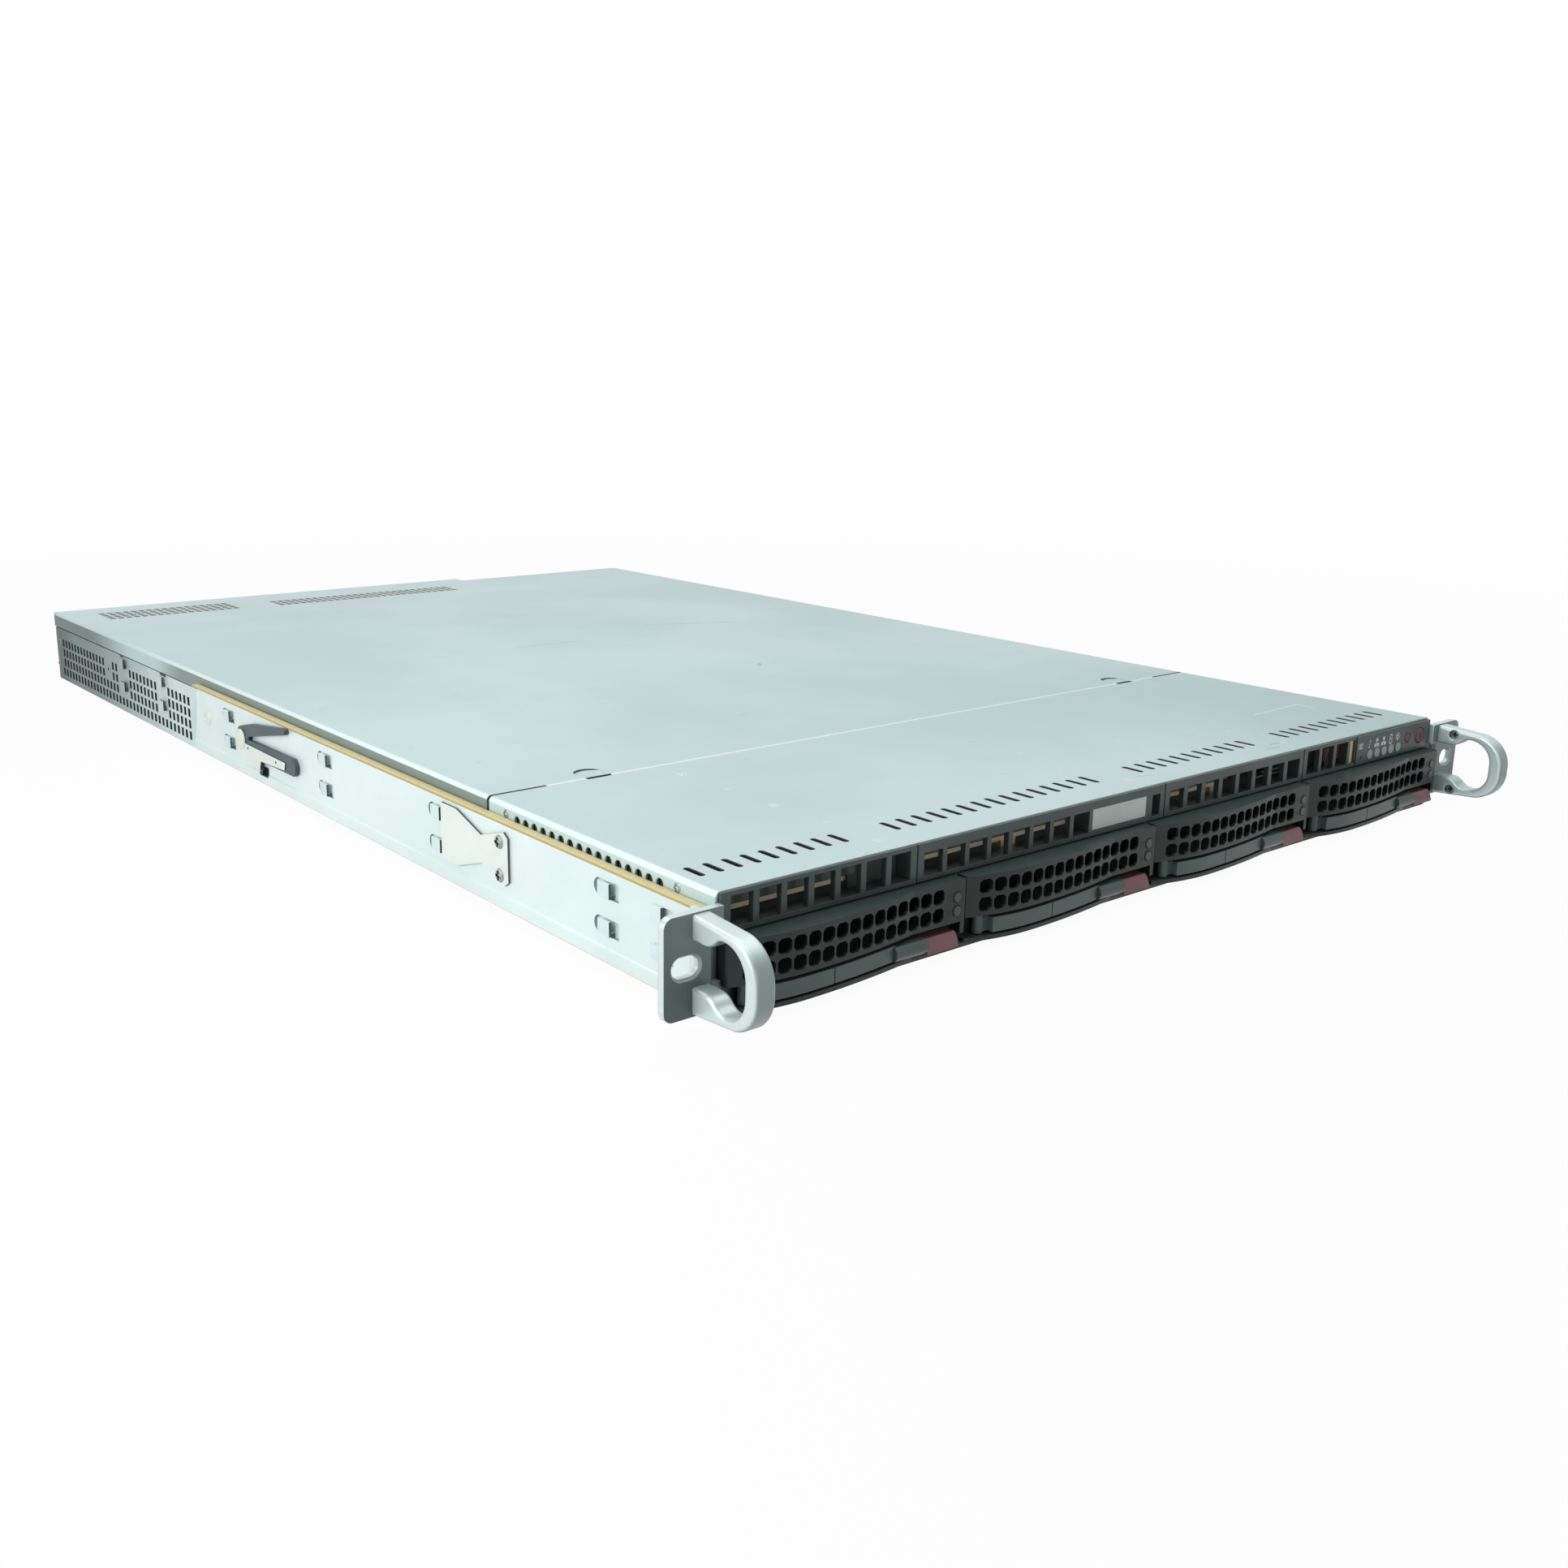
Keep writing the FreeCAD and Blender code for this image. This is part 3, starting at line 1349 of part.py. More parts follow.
# The lever bar keeps the curve of the face; its right end swells into a thumb scoop
def make_grip():
    low, high = grip_low, grip_low + grip_height
    rear = mouth - fit_gap
    curve = prism("grip_curve", "XY", (low, high), bow_outline(zero, rear))
    span = block("grip_span", (-grip_left, scoop_left + 0.5), (front - face_peak - 1, rear), (low - 1, high + 1))
    bar = overlap("grip_bar", curve, span)
    start = rear - scoop_depth + 1
    scoop_top = scoop_low + scoop_height
    scoop_outline = [
        (rear, scoop_low),
        (start, scoop_low),
        (start - 1, scoop_top, scoop_round, -1),
        (rear, scoop_top),
    ]
    scoop = prism("grip_scoop", "YZ", (scoop_left, scoop_right), scoop_outline)
    pivot = (-grip_pivot, front - grip_pivot_depth)
    link = block(
        "grip_link",
        (-grip_pivot, 1 - grip_left),
        (pivot[1] - grip_knuckle, pivot[1] + grip_knuckle - 0.5),
        (low, high),
    )
    lip_top = carrier_low + lip_height
    knuckle_span = (lip_top + fit_gap, grille_low - fit_gap)
    kept = prism("grip_kept", "XY", (low - 1, high + 1), bow_outline(groove_depth, rear + 1))
    places = (-groove_place, scoop_left - groove_width)
    grooves = [
        block(f"grip_groove_{index}", (place, place + groove_width), (front - face_peak - 1, rear), (low, high))
        for index, place in enumerate(places)
    ]
    split = cut("grip_split", group("grip_grooves", *grooves), kept)
    knuckle = rod("grip_knuckle_barrel", "Z", pivot, knuckle_span, grip_knuckle)
    bore = rod("grip_bore", "Z", pivot, (lip_top, grille_low), grip_pin + pin_gap)
    return cut("grip", join("grip_whole", bar, scoop, link, knuckle), bore, split)


def make_tab():
    left = scoop_right + slide_gap
    rear = mouth - fit_gap
    high = tab_low + tab_height
    outline = [
        (rear, tab_low),
        (front - tab_low_depth, tab_low),
        (front - tab_top_depth, high, tab_round, -1),
        (rear, high),
    ]
    return prism("tab", "YZ", (left, left + tab_width), outline)


def make_carriers():
    pieces = {
        "face": make_face(),
        "tray": make_tray(),
        "drive": make_drive(),
        "lever": make_grip(),
        "latch": make_tab(),
        "lights": make_lights(),
    }
    for index in range(4):
        shift = bay_pitch * (index - 1.5)
        for word, piece in pieces.items():
            name = f"carrier_{index + 1}_{word}"
            finish(name, moved(f"placed_{name}", piece, shift))


# The board behind the drives, with one socket for each
def make_backplane():
    start = bay_depth + fit_gap
    board = block(
        "backplane_board",
        (-wall_inner + fit_gap, wall_inner - fit_gap),
        (start, start + board_wall),
        (tray_wall, cage_low),
    )
    socket = block(
        "drive_socket",
        (zero - 20, zero + 20),
        (drive_start + drive_length + fit_gap, start),
        (drive_low + 3, drive_low + 9),
    )
    sockets = [moved(f"drive_socket_{index}", socket, bay_pitch * (index - 1.5)) for index in range(4)]
    finish("backplane", join("backplane_whole", board, *sockets))


# The fans: square frames on a bracket, each with a rotor on a fixed shaft

def fan_height():
    return tray_wall + fan_lift + fan_side / 2


def make_fan_frames():
    low = tray_wall + fan_lift
    side = fan_side / 2
    end = fan_start + fan_depth
    frame = block("fan_frame", (-side, side), (fan_start, end), (low, low + fan_side))
    bore = rod("fan_bore_cut", "Y", (zero, fan_height()), (fan_start - 1, end + 1), fan_bore)
    strut = block("fan_strut_bar", (-side + 1, side - 1), (end - fan_strut, end), (fan_height() - 2, fan_height() + 2))
    seat = rod("fan_seat", "Y", (zero, fan_height()), (end - fan_strut, end), hub_radius)
    shaft_start = fan_start + rotor_inset - 1
    shaft = rod("fan_shaft", "Y", (zero, fan_height()), (shaft_start, end), shaft_radius)
    fan = join("fan", cut("fan_hollow", frame, bore), strut, seat, shaft)
    fans = [moved(f"fan_{index}", fan, fan_pitch * (index - 1.5)) for index in range(4)]
    finish("fan_frames", group("fans", *fans))


def make_rotors():
    start = fan_start + rotor_inset
    end = start + rotor_depth
    sweep = blade_sweep / 2
    outline = [
        (-sweep, start + 1),
        (blade_wall - sweep, start + 1),
        (sweep + blade_wall, end - 1),
        (sweep, end - 1),
    ]
    blades = prism("rotor_blades", "XY", (hub_radius - 1, rotor_radius - 1), outline)
    ring_of_blades = blades.newObject("PartDesign::PolarPattern", "rotor_blade_ring")
    ring_of_blades.Originals = [blades.Tip]
    ring_of_blades.Axis = (origin_feature(blades, "Y_Axis"), [""])
    ring_of_blades.Angle = 360
    ring_of_blades.Occurrences = 7
    blades.Tip = ring_of_blades
    hub = rod("rotor_hub", "Y", (zero, zero), (start, end), hub_radius)
    bore = rod("rotor_bore", "Y", (zero, zero), (start - 1, end + 1), shaft_radius + pin_gap)
    rotor = cut("rotor", join("rotor_whole", hub, blades), bore)
    for index in range(4):
        copy = moved(f"placed_rotor_{index}", rotor, fan_pitch * (index - 1.5))
        bind(copy, "Placement.Base.z", fan_height())
        finish(f"fan_rotor_{index + 1}", copy)


def make_fan_bracket():
    start = fan_start - fit_gap - bracket_wall
    sheet_metal = block(
        "bracket_sheet",
        (-jog_inner + fit_gap, jog_inner - fit_gap),
        (start, start + bracket_wall),
        (tray_wall, wall_top),
    )
    hole = ring((fan_pitch * -1.5, fan_height()), fan_bore)
    holes = repeat(prism("bracket_holes", "XZ", (start - 1, fan_start), hole), ("X", 4, fan_pitch))
    finish("fan_bracket", cut("bracket", sheet_metal, holes))


# The main board, its two heat sinks and the memory beside them

def make_main_board():
    left = board_left - half
    low = tray_wall + standoff_height
    board = block(
        "board",
        (left, left + board_width),
        (board_start, board_start + board_length),
        (low, low + board_wall),
    )
    finish("main_board", board)


def make_heat_sinks():
    low = tray_wall + standoff_height + board_wall
    left = board_left - half + 30
    start = board_start + 60
    base = block("sink_base_block", (left, left + sink_width), (start, start + sink_length), (low, low + sink_base))
    fin = rectangle((left, left + fin_wall), (low + sink_base - 0.5, low + sink_height))
    fins = prism("sink_fins", "XZ", (start, start + sink_length), fin)
    count = 15
    repeat(fins, ("X", count, (sink_width - fin_wall) / (count - 1)))
    sink = join("sink", base, fins)
    finish("heat_sinks", group("sinks", sink, moved("sink_second", sink, sink_width + 66)))


def make_memory():
    low = tray_wall + standoff_height + board_wall
    left = board_left - half + 30 + sink_width + 12
    start = board_start + 40
    card = rectangle((left, left + memory_wall), (low, low + memory_height))
    cards = prism("memory_cards", "XZ", (start, start + memory_length), card)
    finish("memory_modules", repeat(cards, ("X", 6, memory_pitch)))


# The rear wall with its port openings, and the ports in them

def port_places():
    first = board_left - half + 14
    return [first + (port_width + 6) * index for index in range(6)]


def make_rear_panel():
    outer = tub_back
    low = tray_wall
    sheet_metal = block(
        "rear_sheet_metal",
        (-jog_inner + fit_gap, supply_left),
        (outer - bracket_wall, outer),
        (low, wall_top),
    )
    wall = block(
        "supply_wall",
        (supply_left - bracket_wall, supply_left),
        (supply_back - supply_length, outer),
        (low, wall_top),
    )
    port_low = tray_wall + standoff_height + board_wall
    ports = []
    for index, left in enumerate(port_places()):
        across = (left - fit_gap, left + port_width + fit_gap)
        up = (port_low - fit_gap, port_low + port_height + fit_gap)
        ports.append(block(f"port_opening_{index}", across, (outer - 2, outer + 1), up))
    card = block(
        "card_opening",
        (supply_left - 112, supply_left - 14),
        (outer - 2, outer + 1),
        (port_low + port_height + 4, wall_top - 4),
    )
    finish("rear_panel", cut("rear_wall", join("rear_whole", sheet_metal, wall), group("rear_openings", *ports), card))


def make_rear_ports():
    port_low = tray_wall + standoff_height + board_wall
    shells = []
    for index, left in enumerate(port_places()):
        shell = block(
            f"port_shell_{index}",
            (left, left + port_width),
            (tub_back - 20, tub_back),
            (port_low, port_low + port_height),
        )
        hollow = block(
            f"port_hollow_{index}",
            (left + 1, left + port_width - 1),
            (tub_back - 14, tub_back + 1),
            (port_low + 1, port_low + port_height - 1),
        )
        shells.append(cut(f"port_{index}", shell, hollow))
    finish("rear_ports", group("ports", *shells))


# The power supplies slide in from the rear, each with a pull loop and a latch

def make_supplies():
    left = supply_left + supply_gap
    right = left + supply_width
    middle = (left + right) / 2
    low = tray_wall + slide_gap
    end = supply_back - fit_gap
    case = block("supply_case", (left, right), (end - supply_length, end), (low, low + supply_height))
    inlet_low = low + supply_height - inlet_height - 5
    inlet = block(
        "inlet_hollow",
        (left + 5, left + 5 + inlet_width),
        (end - inlet_depth, end + 1),
        (inlet_low, inlet_low + inlet_height),
    )
    pin = block(
        "inlet_pins",
        (left + 5 + inlet_width / 2 - 1, left + 5 + inlet_width / 2 + 1),
        (end - inlet_depth - 1, end - 2),
        (inlet_low + 12, inlet_low + 16),
    )
    loop_left = middle + 4
    loop_right = loop_left + loop_span
    loop_low, loop_high = low + 6, low + 30
    pull = [
        block("pull_low", (loop_left, loop_right), (end - 1, end + loop_reach), (loop_low, loop_low + loop_bar)),
        block("pull_high", (loop_left, loop_right), (end - 1, end + loop_reach), (loop_high, loop_high + loop_bar)),
        block(
            "pull_bar",
            (loop_left, loop_right),
            (end + loop_reach - loop_bar, end + loop_reach),
            (loop_low, loop_high + loop_bar),
        ),
    ]
    supply = join("supply", cut("supply_open", case, inlet), pin, *pull)
    shift = supply_width + supply_gap
    finish("supply_left", moved("placed_supply_left", supply, zero))
    finish("supply_right", moved("placed_supply_right", supply, shift))
    latch = block(
        "supply_latch",
        (right - 6, right - 2),
        (end + fit_gap, end + loop_reach - 1),
        (low + 10, low + 24),
    )
    finish("supply_left_latch", moved("placed_latch_left", latch, zero))
    finish("supply_right_latch", moved("placed_latch_right", latch, shift))


make_ears()
make_chassis()
make_rear_panel()
make_rear_ports()
make_front_cover()
make_rear_cover()
make_front_strip()
make_badge_plate()
make_front_brace()
make_front_sockets()
make_control_panel()
make_panel_lamps()
make_button("power_button", power_left, power_height, power_radius, 0.5)
make_button("reset_button", reset_left, reset_height, reset_radius, 0.4)
make_rails()
make_rail_levers()
make_rail_springs()
make_rail_fasteners()
make_drive_cage()
make_carriers()
make_backplane()
make_fan_frames()
make_rotors()
make_fan_bracket()
make_main_board()
make_heat_sinks()
make_memory()
make_supplies()

document.recompute()

for thing in document.Objects:
    if "Invalid" in thing.State or "Error" in thing.State:
        raise RuntimeError(f"{thing.Label}: {thing.State}")

os.makedirs("parts", exist_ok=True)
for name, piece in parts.items():
    if piece.Shape.isNull() or not piece.Shape.isValid():
        raise RuntimeError(f"{name} has no valid shape")
    piece.Shape.exportStep(f"parts/{name}.step")
    print(name, len(piece.Shape.Solids), "solids")
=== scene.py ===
import bpy
import bmesh
import math
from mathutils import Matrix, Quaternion, Vector


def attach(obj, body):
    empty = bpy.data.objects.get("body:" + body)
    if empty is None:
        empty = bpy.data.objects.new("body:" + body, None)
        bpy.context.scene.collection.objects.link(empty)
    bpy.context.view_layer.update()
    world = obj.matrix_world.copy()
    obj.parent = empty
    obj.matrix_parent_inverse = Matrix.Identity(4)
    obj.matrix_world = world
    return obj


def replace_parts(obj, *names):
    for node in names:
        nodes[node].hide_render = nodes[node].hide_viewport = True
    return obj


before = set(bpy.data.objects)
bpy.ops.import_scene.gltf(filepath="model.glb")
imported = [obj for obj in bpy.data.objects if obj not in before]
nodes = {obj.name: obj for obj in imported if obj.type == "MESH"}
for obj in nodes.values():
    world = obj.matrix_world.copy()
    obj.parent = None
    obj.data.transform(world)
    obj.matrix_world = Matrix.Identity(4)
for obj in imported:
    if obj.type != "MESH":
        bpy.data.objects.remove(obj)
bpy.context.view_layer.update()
mm = 0.001
sides = {"left": -1, "right": 1}

print("frame loaded")


# A screen colour, 0 to 255, in linear values
def shade(red, green, blue):
    def linear(value):
        value = value / 255
        return value / 12.92 if value <= 0.04045 else ((value + 0.055) / 1.055) ** 2.4
    return (linear(red), linear(green), linear(blue))


def operator(operation, swapped=False):
    def result(wire, other=0):
        first, second = (other, wire) if swapped else (wire, other)
        return wire.graph.add("ShaderNodeMath", {"operation": operation}, {0: first, 1: second})
    return result


# Shader maths: a wire is one output socket, and arithmetic on wires adds Math nodes
class Wire:
    __add__ = operator("ADD")
    __sub__ = operator("SUBTRACT")
    __rsub__ = operator("SUBTRACT", True)
    __mul__ = operator("MULTIPLY")
    __truediv__ = operator("DIVIDE")
    __pow__ = operator("POWER")
    __gt__ = operator("GREATER_THAN")
    __lt__ = operator("LESS_THAN")
    __abs__ = operator("ABSOLUTE")
    fraction = operator("FRACT")
    largest = operator("MAXIMUM")

    def __init__(self, graph, socket):
        self.graph = graph
        self.socket = socket

    def ramp(self, low, high, start=0, end=1):
        return self.graph.add(
            "ShaderNodeMapRange",
            {"interpolation_type": "SMOOTHSTEP"},
            {"Value": self, "From Min": low, "From Max": high, "To Min": start, "To Max": end},
        )


# A node tree, whose nodes come from add
class Graph:
    def __init__(self, tree):
        self.tree = tree
        tree.nodes.clear()

    def plug(self, socket, value):
        if isinstance(value, Wire):
            self.tree.links.new(value.socket, socket)
        elif isinstance(value, tuple) and socket.type == "RGBA":
            socket.default_value = (*value, 1)
        else:
            socket.default_value = value

    def add(self, kind, settings=None, inputs=None, output=0):
        node = self.tree.nodes.new(kind)
        for name, value in (settings or {}).items():
            setattr(node, name, value)
        for name, value in (inputs or {}).items():
            self.plug(node.inputs[name], value)
        return Wire(self, node.outputs[output]) if len(node.outputs) else None


# One material; x, y and z are the place at rest in millimetres
class Finish(Graph):
    def __init__(self, name):
        self.material = bpy.data.materials.new(name)
        self.material.use_nodes = True
        super().__init__(self.material.node_tree)
        self.output = self.tree.nodes.new("ShaderNodeOutputMaterial")
        self.plain = self.add("ShaderNodeBsdfPrincipled")
        self.shader = self.plain.socket.node
        self.plug(self.output.inputs["Surface"], self.plain)
        self.place = self.add("ShaderNodeTexCoord", output="Object")
        self.x, self.y, self.z = (
            self.add("ShaderNodeSeparateXYZ", {}, {0: self.place}, axis) * (1 / mm) for axis in range(3)
        )

    # How far the surface at rest looks along an axis, 0 for x, 1 for y, 2 for z
    def facing(self, axis):
        way = self.add("ShaderNodeTexCoord", output="Normal")
        return self.add("ShaderNodeSeparateXYZ", {}, {0: way}, axis)

    def set(self, **values):
        for name, value in values.items():
            self.plug(self.shader.inputs[name.replace("_", " ")], value)

    def noise(self, scale, detail=3, roughness=0.5, stretch=(1, 1, 1)):
        place = self.add("ShaderNodeVectorMath", {"operation": "MULTIPLY"}, {0: self.place, 1: stretch})
        inputs = {"Vector": place, "Scale": scale, "Detail": detail, "Roughness": roughness}
        return self.add("ShaderNodeTexNoise", {}, inputs)

    # Blends wires or screen colours
    def blend(self, factor, *colours):
        first, second = (shade(*colour) if isinstance(colour, tuple) else colour for colour in colours)
        return self.add("ShaderNodeMix", {"data_type": "RGBA"}, {"Factor": factor, 6: first, 7: second}, 2)

    # Fine relief, on edges that look rounded to a radius in millimetres
    def bump(self, height, strength, depth, edge, samples=6):
        inputs = {"Height": height, "Strength": strength, "Distance": depth}
        if edge:
            inputs["Normal"] = self.add("ShaderNodeBevel", {"samples": samples}, {"Radius": edge * mm})
        self.set(Normal=self.add("ShaderNodeBump", {}, inputs))

    def between(self, value, low, high, soft=0.05):
        return value.ramp(low - soft, low + soft) * value.ramp(high - soft, high + soft, 1, 0)

    # 1 within hard limits, else 0; outside is the distance from the middle, None is no limit
    def box(self, outside=(None, None), along=(None, None), up=(None, None)):
        mask = None
        for value, (low, high) in ((abs(self.x), outside), (self.y, along), (self.z, up)):
            for limit, test in ((low, Wire.__gt__), (high, Wire.__lt__)):
                if limit is not None:
                    within = test(value, limit)
                    mask = within if mask is None else mask * within
        return mask

    # A soft mark along a line between two points
    def stroke(self, start, end, width, soft=0.3, core=0.4):
        length = math.dist(start, end)
        runX, runY = (end[0] - start[0]) / length, (end[1] - start[1]) / length
        along = (self.x - start[0]) * runX + (self.y - start[1]) * runY
        aside = abs((self.x - start[0]) * runY - (self.y - start[1]) * runX)
        return self.between(along, 0, length, soft) * aside.ramp(width * core, width, 1, 0)


# A finish of two cloudy colours, painted over step by step
class Painted(Finish):
    def __init__(self, name, look):
        super().__init__(name)
        self.look = look
        self.cloud = self.noise(*look["cloud"])
        share = self.cloud.ramp(*look["spread"]) if look["spread"] else self.cloud
        self.tint = self.blend(share, *look["colours"])

    def paint(self, where, colour):
        self.tint = self.blend(where, self.tint, colour)

    # A layer is a colour and the limits of its ramp along the value
    def fade(self, value, layer, within=None):
        colour, limits = layer
        share = value.ramp(*limits)
        self.paint(share if within is None else share * within, colour)

    # Metal shows where nothing covers it; rough is the noise that adds roughness
    def close(self, relief=None, covered=None, rough=None, **values):
        look = self.look
        least, added = look["roughness"]
        self.set(
            Base_Color=self.tint,
            Metallic=look["metallic"] if covered is None else (1 - covered) * look["metallic"],
            Roughness=(rough or self.cloud) * added + least if added else least,
            **values,
        )
        self.bump(relief or self.cloud, look["relief"], look["depth"], look["edge"])
        return self


def dress(finish, *names):
    for name in names:
        for slotOfNode in nodes[name].material_slots:
            slotOfNode.material = finish.material


# What steels and plastics share unless their own look says otherwise
steel = {
    "cloud": (14, 5, 0.6),
    "spread": (0.3, 0.7),
    "brush": (260, 3, 0.5, (1, 0.06, 1)),
    "metallic": 0.35,
    "roughness": (0.34, 0.18),
    "relief": 0.08,
    "depth": 0.0002,
    "edge": 0,
}

plastic = {
    "cloud": (40, 3),
    "spread": (0.35, 0.7),
    "grain": (1800, 2),
    "metallic": 0,
    "grainRoughness": 0.14,
    "depth": 0.00008,
    "edge": 0.3,
    "coat": 0.05,
    "specular": 0.4,
}


# The covers: coated steel with scratches, painted vent fields, painted shade darkening the sides,
# underside, slots and seam, and painted highlights on the edge and seam
coverLook = {
    **steel,
    "colours": ((200, 222, 222), (188, 211, 211)),
    "cloud": (6, 4),
    "spread": (0.35, 0.65),
    "grain": (900, 2, 0.6),
    "metallic": 0.2,
    "roughness": (0.34, 0.12),
    "relief": 0.35,
    "grainHeight": 0.25,
    "holeHeight": 6,
    "edge": 0.9,
    "topFrom": 42.5,
    # Painted shade: the top darkens towards its front right corner
    "corner": ((166, 192, 192), (20, 200, 0, 0.75)),
    "cornerShadeAlong": (40, 260, 1, 0),
    "speck": ((150, 160, 158), (0.75, 0.8, 0, 0.14)),
    "speckNoise": (150, 1),
    "scratches": (
        ((128, 138, 134), 0.55, (
            ((68.5, 442.3), (123.5, 420.3), 0.8),
            ((-41.5, 417.3), (5.5, 415.8), 0.7),
            ((40, 292.5), (43.5, 297), 1.4),
            ((104, 13.2), (112.5, 12.6), 0.9),
            ((96, 9), (103, 7.5), 0.8),
        )),
        ((240, 250, 250), 0.8, (
            ((152.9, 53.8), (192.3, 55), 0.45),
            ((192.3, 55), (191.8, 45.9), 0.45),
        )),
    ),
    "vents": (((-197.5, 17), (653.8, 4)), ((-85.5, 27), (651.3, 3))),
    "holePitch": (5.06, 7.4),
    "holeSize": (3.7, 6.1),
    "holeSoft": 0.02,
    "fieldSoft": 0.01,
    # The painted holes are dark with painted shade of the inside
    "hole": (46, 54, 54),
    # Painted highlight along the lid's bent edge, fading towards the rear
    "rim": ((238, 248, 248), (216.9, 217.6, 0, 0.6)),
    "edgeHighlightFrom": 41.2,
    "edgeHighlightAlong": (430, 620, 1, 0.15),
    # Painted shade on the lid's sides below its edge, darker towards the rear
    "lidSideShade": ((124, 139, 134), (470, 520, 1, 0)),
    "lidSideRearShade": ((92, 113, 110), (540, 640)),
    "lidSideBox": {"outside": (218.2, None), "along": (142.6, None)},
    "lidSideUp": (41.2, 41.6, 1, 0),
    # Painted shade on the covers' underside
    "underside": (24, 27, 27),
    "undersideBox": {"outside": (None, 217.45), "along": (None, 703.9), "up": (None, 42.05)},
    # Painted shade in the front slots, on their walls and a little around them
    "slotShade": (20, 22, 20),
    "slotWallAlong": (16.1, 26.5),
    "slotWallBox": {"outside": (None, 214), "up": (None, 42.93)},
    "slotRows": ((-211.25, 9), (-122.15, 15), (17.45, 11), (123.95, 11)),
    "slotPitch": 7.95,
    "slotMiddle": 21.3,
    "slotReach": 3.9,
    "slotRadius": 1.4,
    "slotSoft": 0.1,
    "seamAlong": (141.7, 143.5),
    "seamSoft": 0.1,
    # Painted shade in the seam between the covers at its ends, and a painted highlight along the rest
    "seamShade": (46, 50, 48),
    "seamShadeBoxes": ({"outside": (192, None)}, {"outside": (161.3, 173.6)}),
    "seamHighlight": (246, 254, 254),
    "seamHighlightStrength": 0.9,
}


def ventHoles(finish, look):
    pitchX, pitchY = look["holePitch"]
    sizeX, sizeY = look["holeSize"]
    soft, fieldSoft = look["holeSoft"], look["fieldSoft"]
    holes = None
    for (firstX, columns), (firstY, rows) in look["vents"]:
        across = (finish.x - firstX) / pitchX
        along = (finish.y - firstY) / pitchY
        hole = finish.between(across, 0, columns, fieldSoft) * finish.between(along, 0, rows, fieldSoft)
        hole = hole * finish.between(across.fraction(), 0, sizeX / pitchX, soft)
        hole = hole * finish.between(along.fraction(), 0, sizeY / pitchY, soft)
        holes = hole if holes is None else holes.largest(hole)
    return holes


# The front cover's slots and their walls in painted shade, painted wider than they are cut
def slotHoles(finish, look, top):
    holes = finish.between(finish.y, *look["slotWallAlong"]) * finish.box(**look["slotWallBox"])
    beyond = (abs(finish.y - look["slotMiddle"]) - look["slotReach"]).largest(0)
    radius, soft = look["slotRadius"], look["slotSoft"]
    for first, count in look["slotRows"]:
        step = (finish.x - first) / look["slotPitch"] + 0.5
        aside = (step.fraction() - 0.5) * look["slotPitch"]
        near = ((aside ** 2 + beyond ** 2) ** 0.5).ramp(radius - soft, radius + soft, 1, 0)
        holes = holes.largest(near * finish.between(step, 0, count, look["fieldSoft"]) * top)
    return holes


def coverFinish():
    look = coverLook
    finish = Painted("coverMetal", look)
    top = finish.z > look["topFrom"]
    # Painted shade towards the front right corner of the top
    finish.fade(finish.x, look["corner"], finish.y.ramp(*look["cornerShadeAlong"]))
    finish.fade(finish.noise(*look["speckNoise"]), look["speck"])
    for tint, strength, strokes in look["scratches"]:
        for start, end, width in strokes:
            finish.paint(finish.stroke(start, end, width) * top * strength, tint)
    holes = ventHoles(finish, look) * top
    # Painted shade in the painted vent holes
    finish.paint(holes, look["hole"])
    # Painted highlight along the bent edge
    finish.fade(abs(finish.x), look["rim"], (finish.z > look["edgeHighlightFrom"]) * finish.y.ramp(*look["edgeHighlightAlong"]))
    # Painted shade on the lid's sides
    lidSideShade = finish.box(**look["lidSideBox"]) * finish.z.ramp(*look["lidSideUp"])
    for layer in ("lidSideShade", "lidSideRearShade"):
        finish.fade(finish.y, look[layer], lidSideShade)
    # Painted shade on the underside
    underside = finish.box(**look["undersideBox"])
    finish.paint(underside, look["underside"])
    # Painted shade in and around the slots
    slots = slotHoles(finish, look, top)
    finish.paint(slots, look["slotShade"])
    # Painted shade at the seam's ends, painted highlight along the rest
    dark, nextDark = (finish.box(**limits) for limits in look["seamShadeBoxes"])
    dark = dark.largest(nextDark)
    nearSeam = finish.between(finish.y, *look["seamAlong"], look["seamSoft"])
    seam = nearSeam * dark
    finish.paint(seam, look["seamShade"])
    finish.paint(nearSeam * (1 - dark) * top * look["seamHighlightStrength"], look["seamHighlight"])
    hollow = holes.largest(slots).largest(underside).largest(seam)
    grain = finish.noise(*look["grain"])
    return finish.close(grain * look["grainHeight"] - holes * look["holeHeight"], hollow)


def platedFinish(name, *colours):
    finish = Painted(name, {**steel, "colours": colours})
    return finish.close(finish.noise(*steel["brush"]))


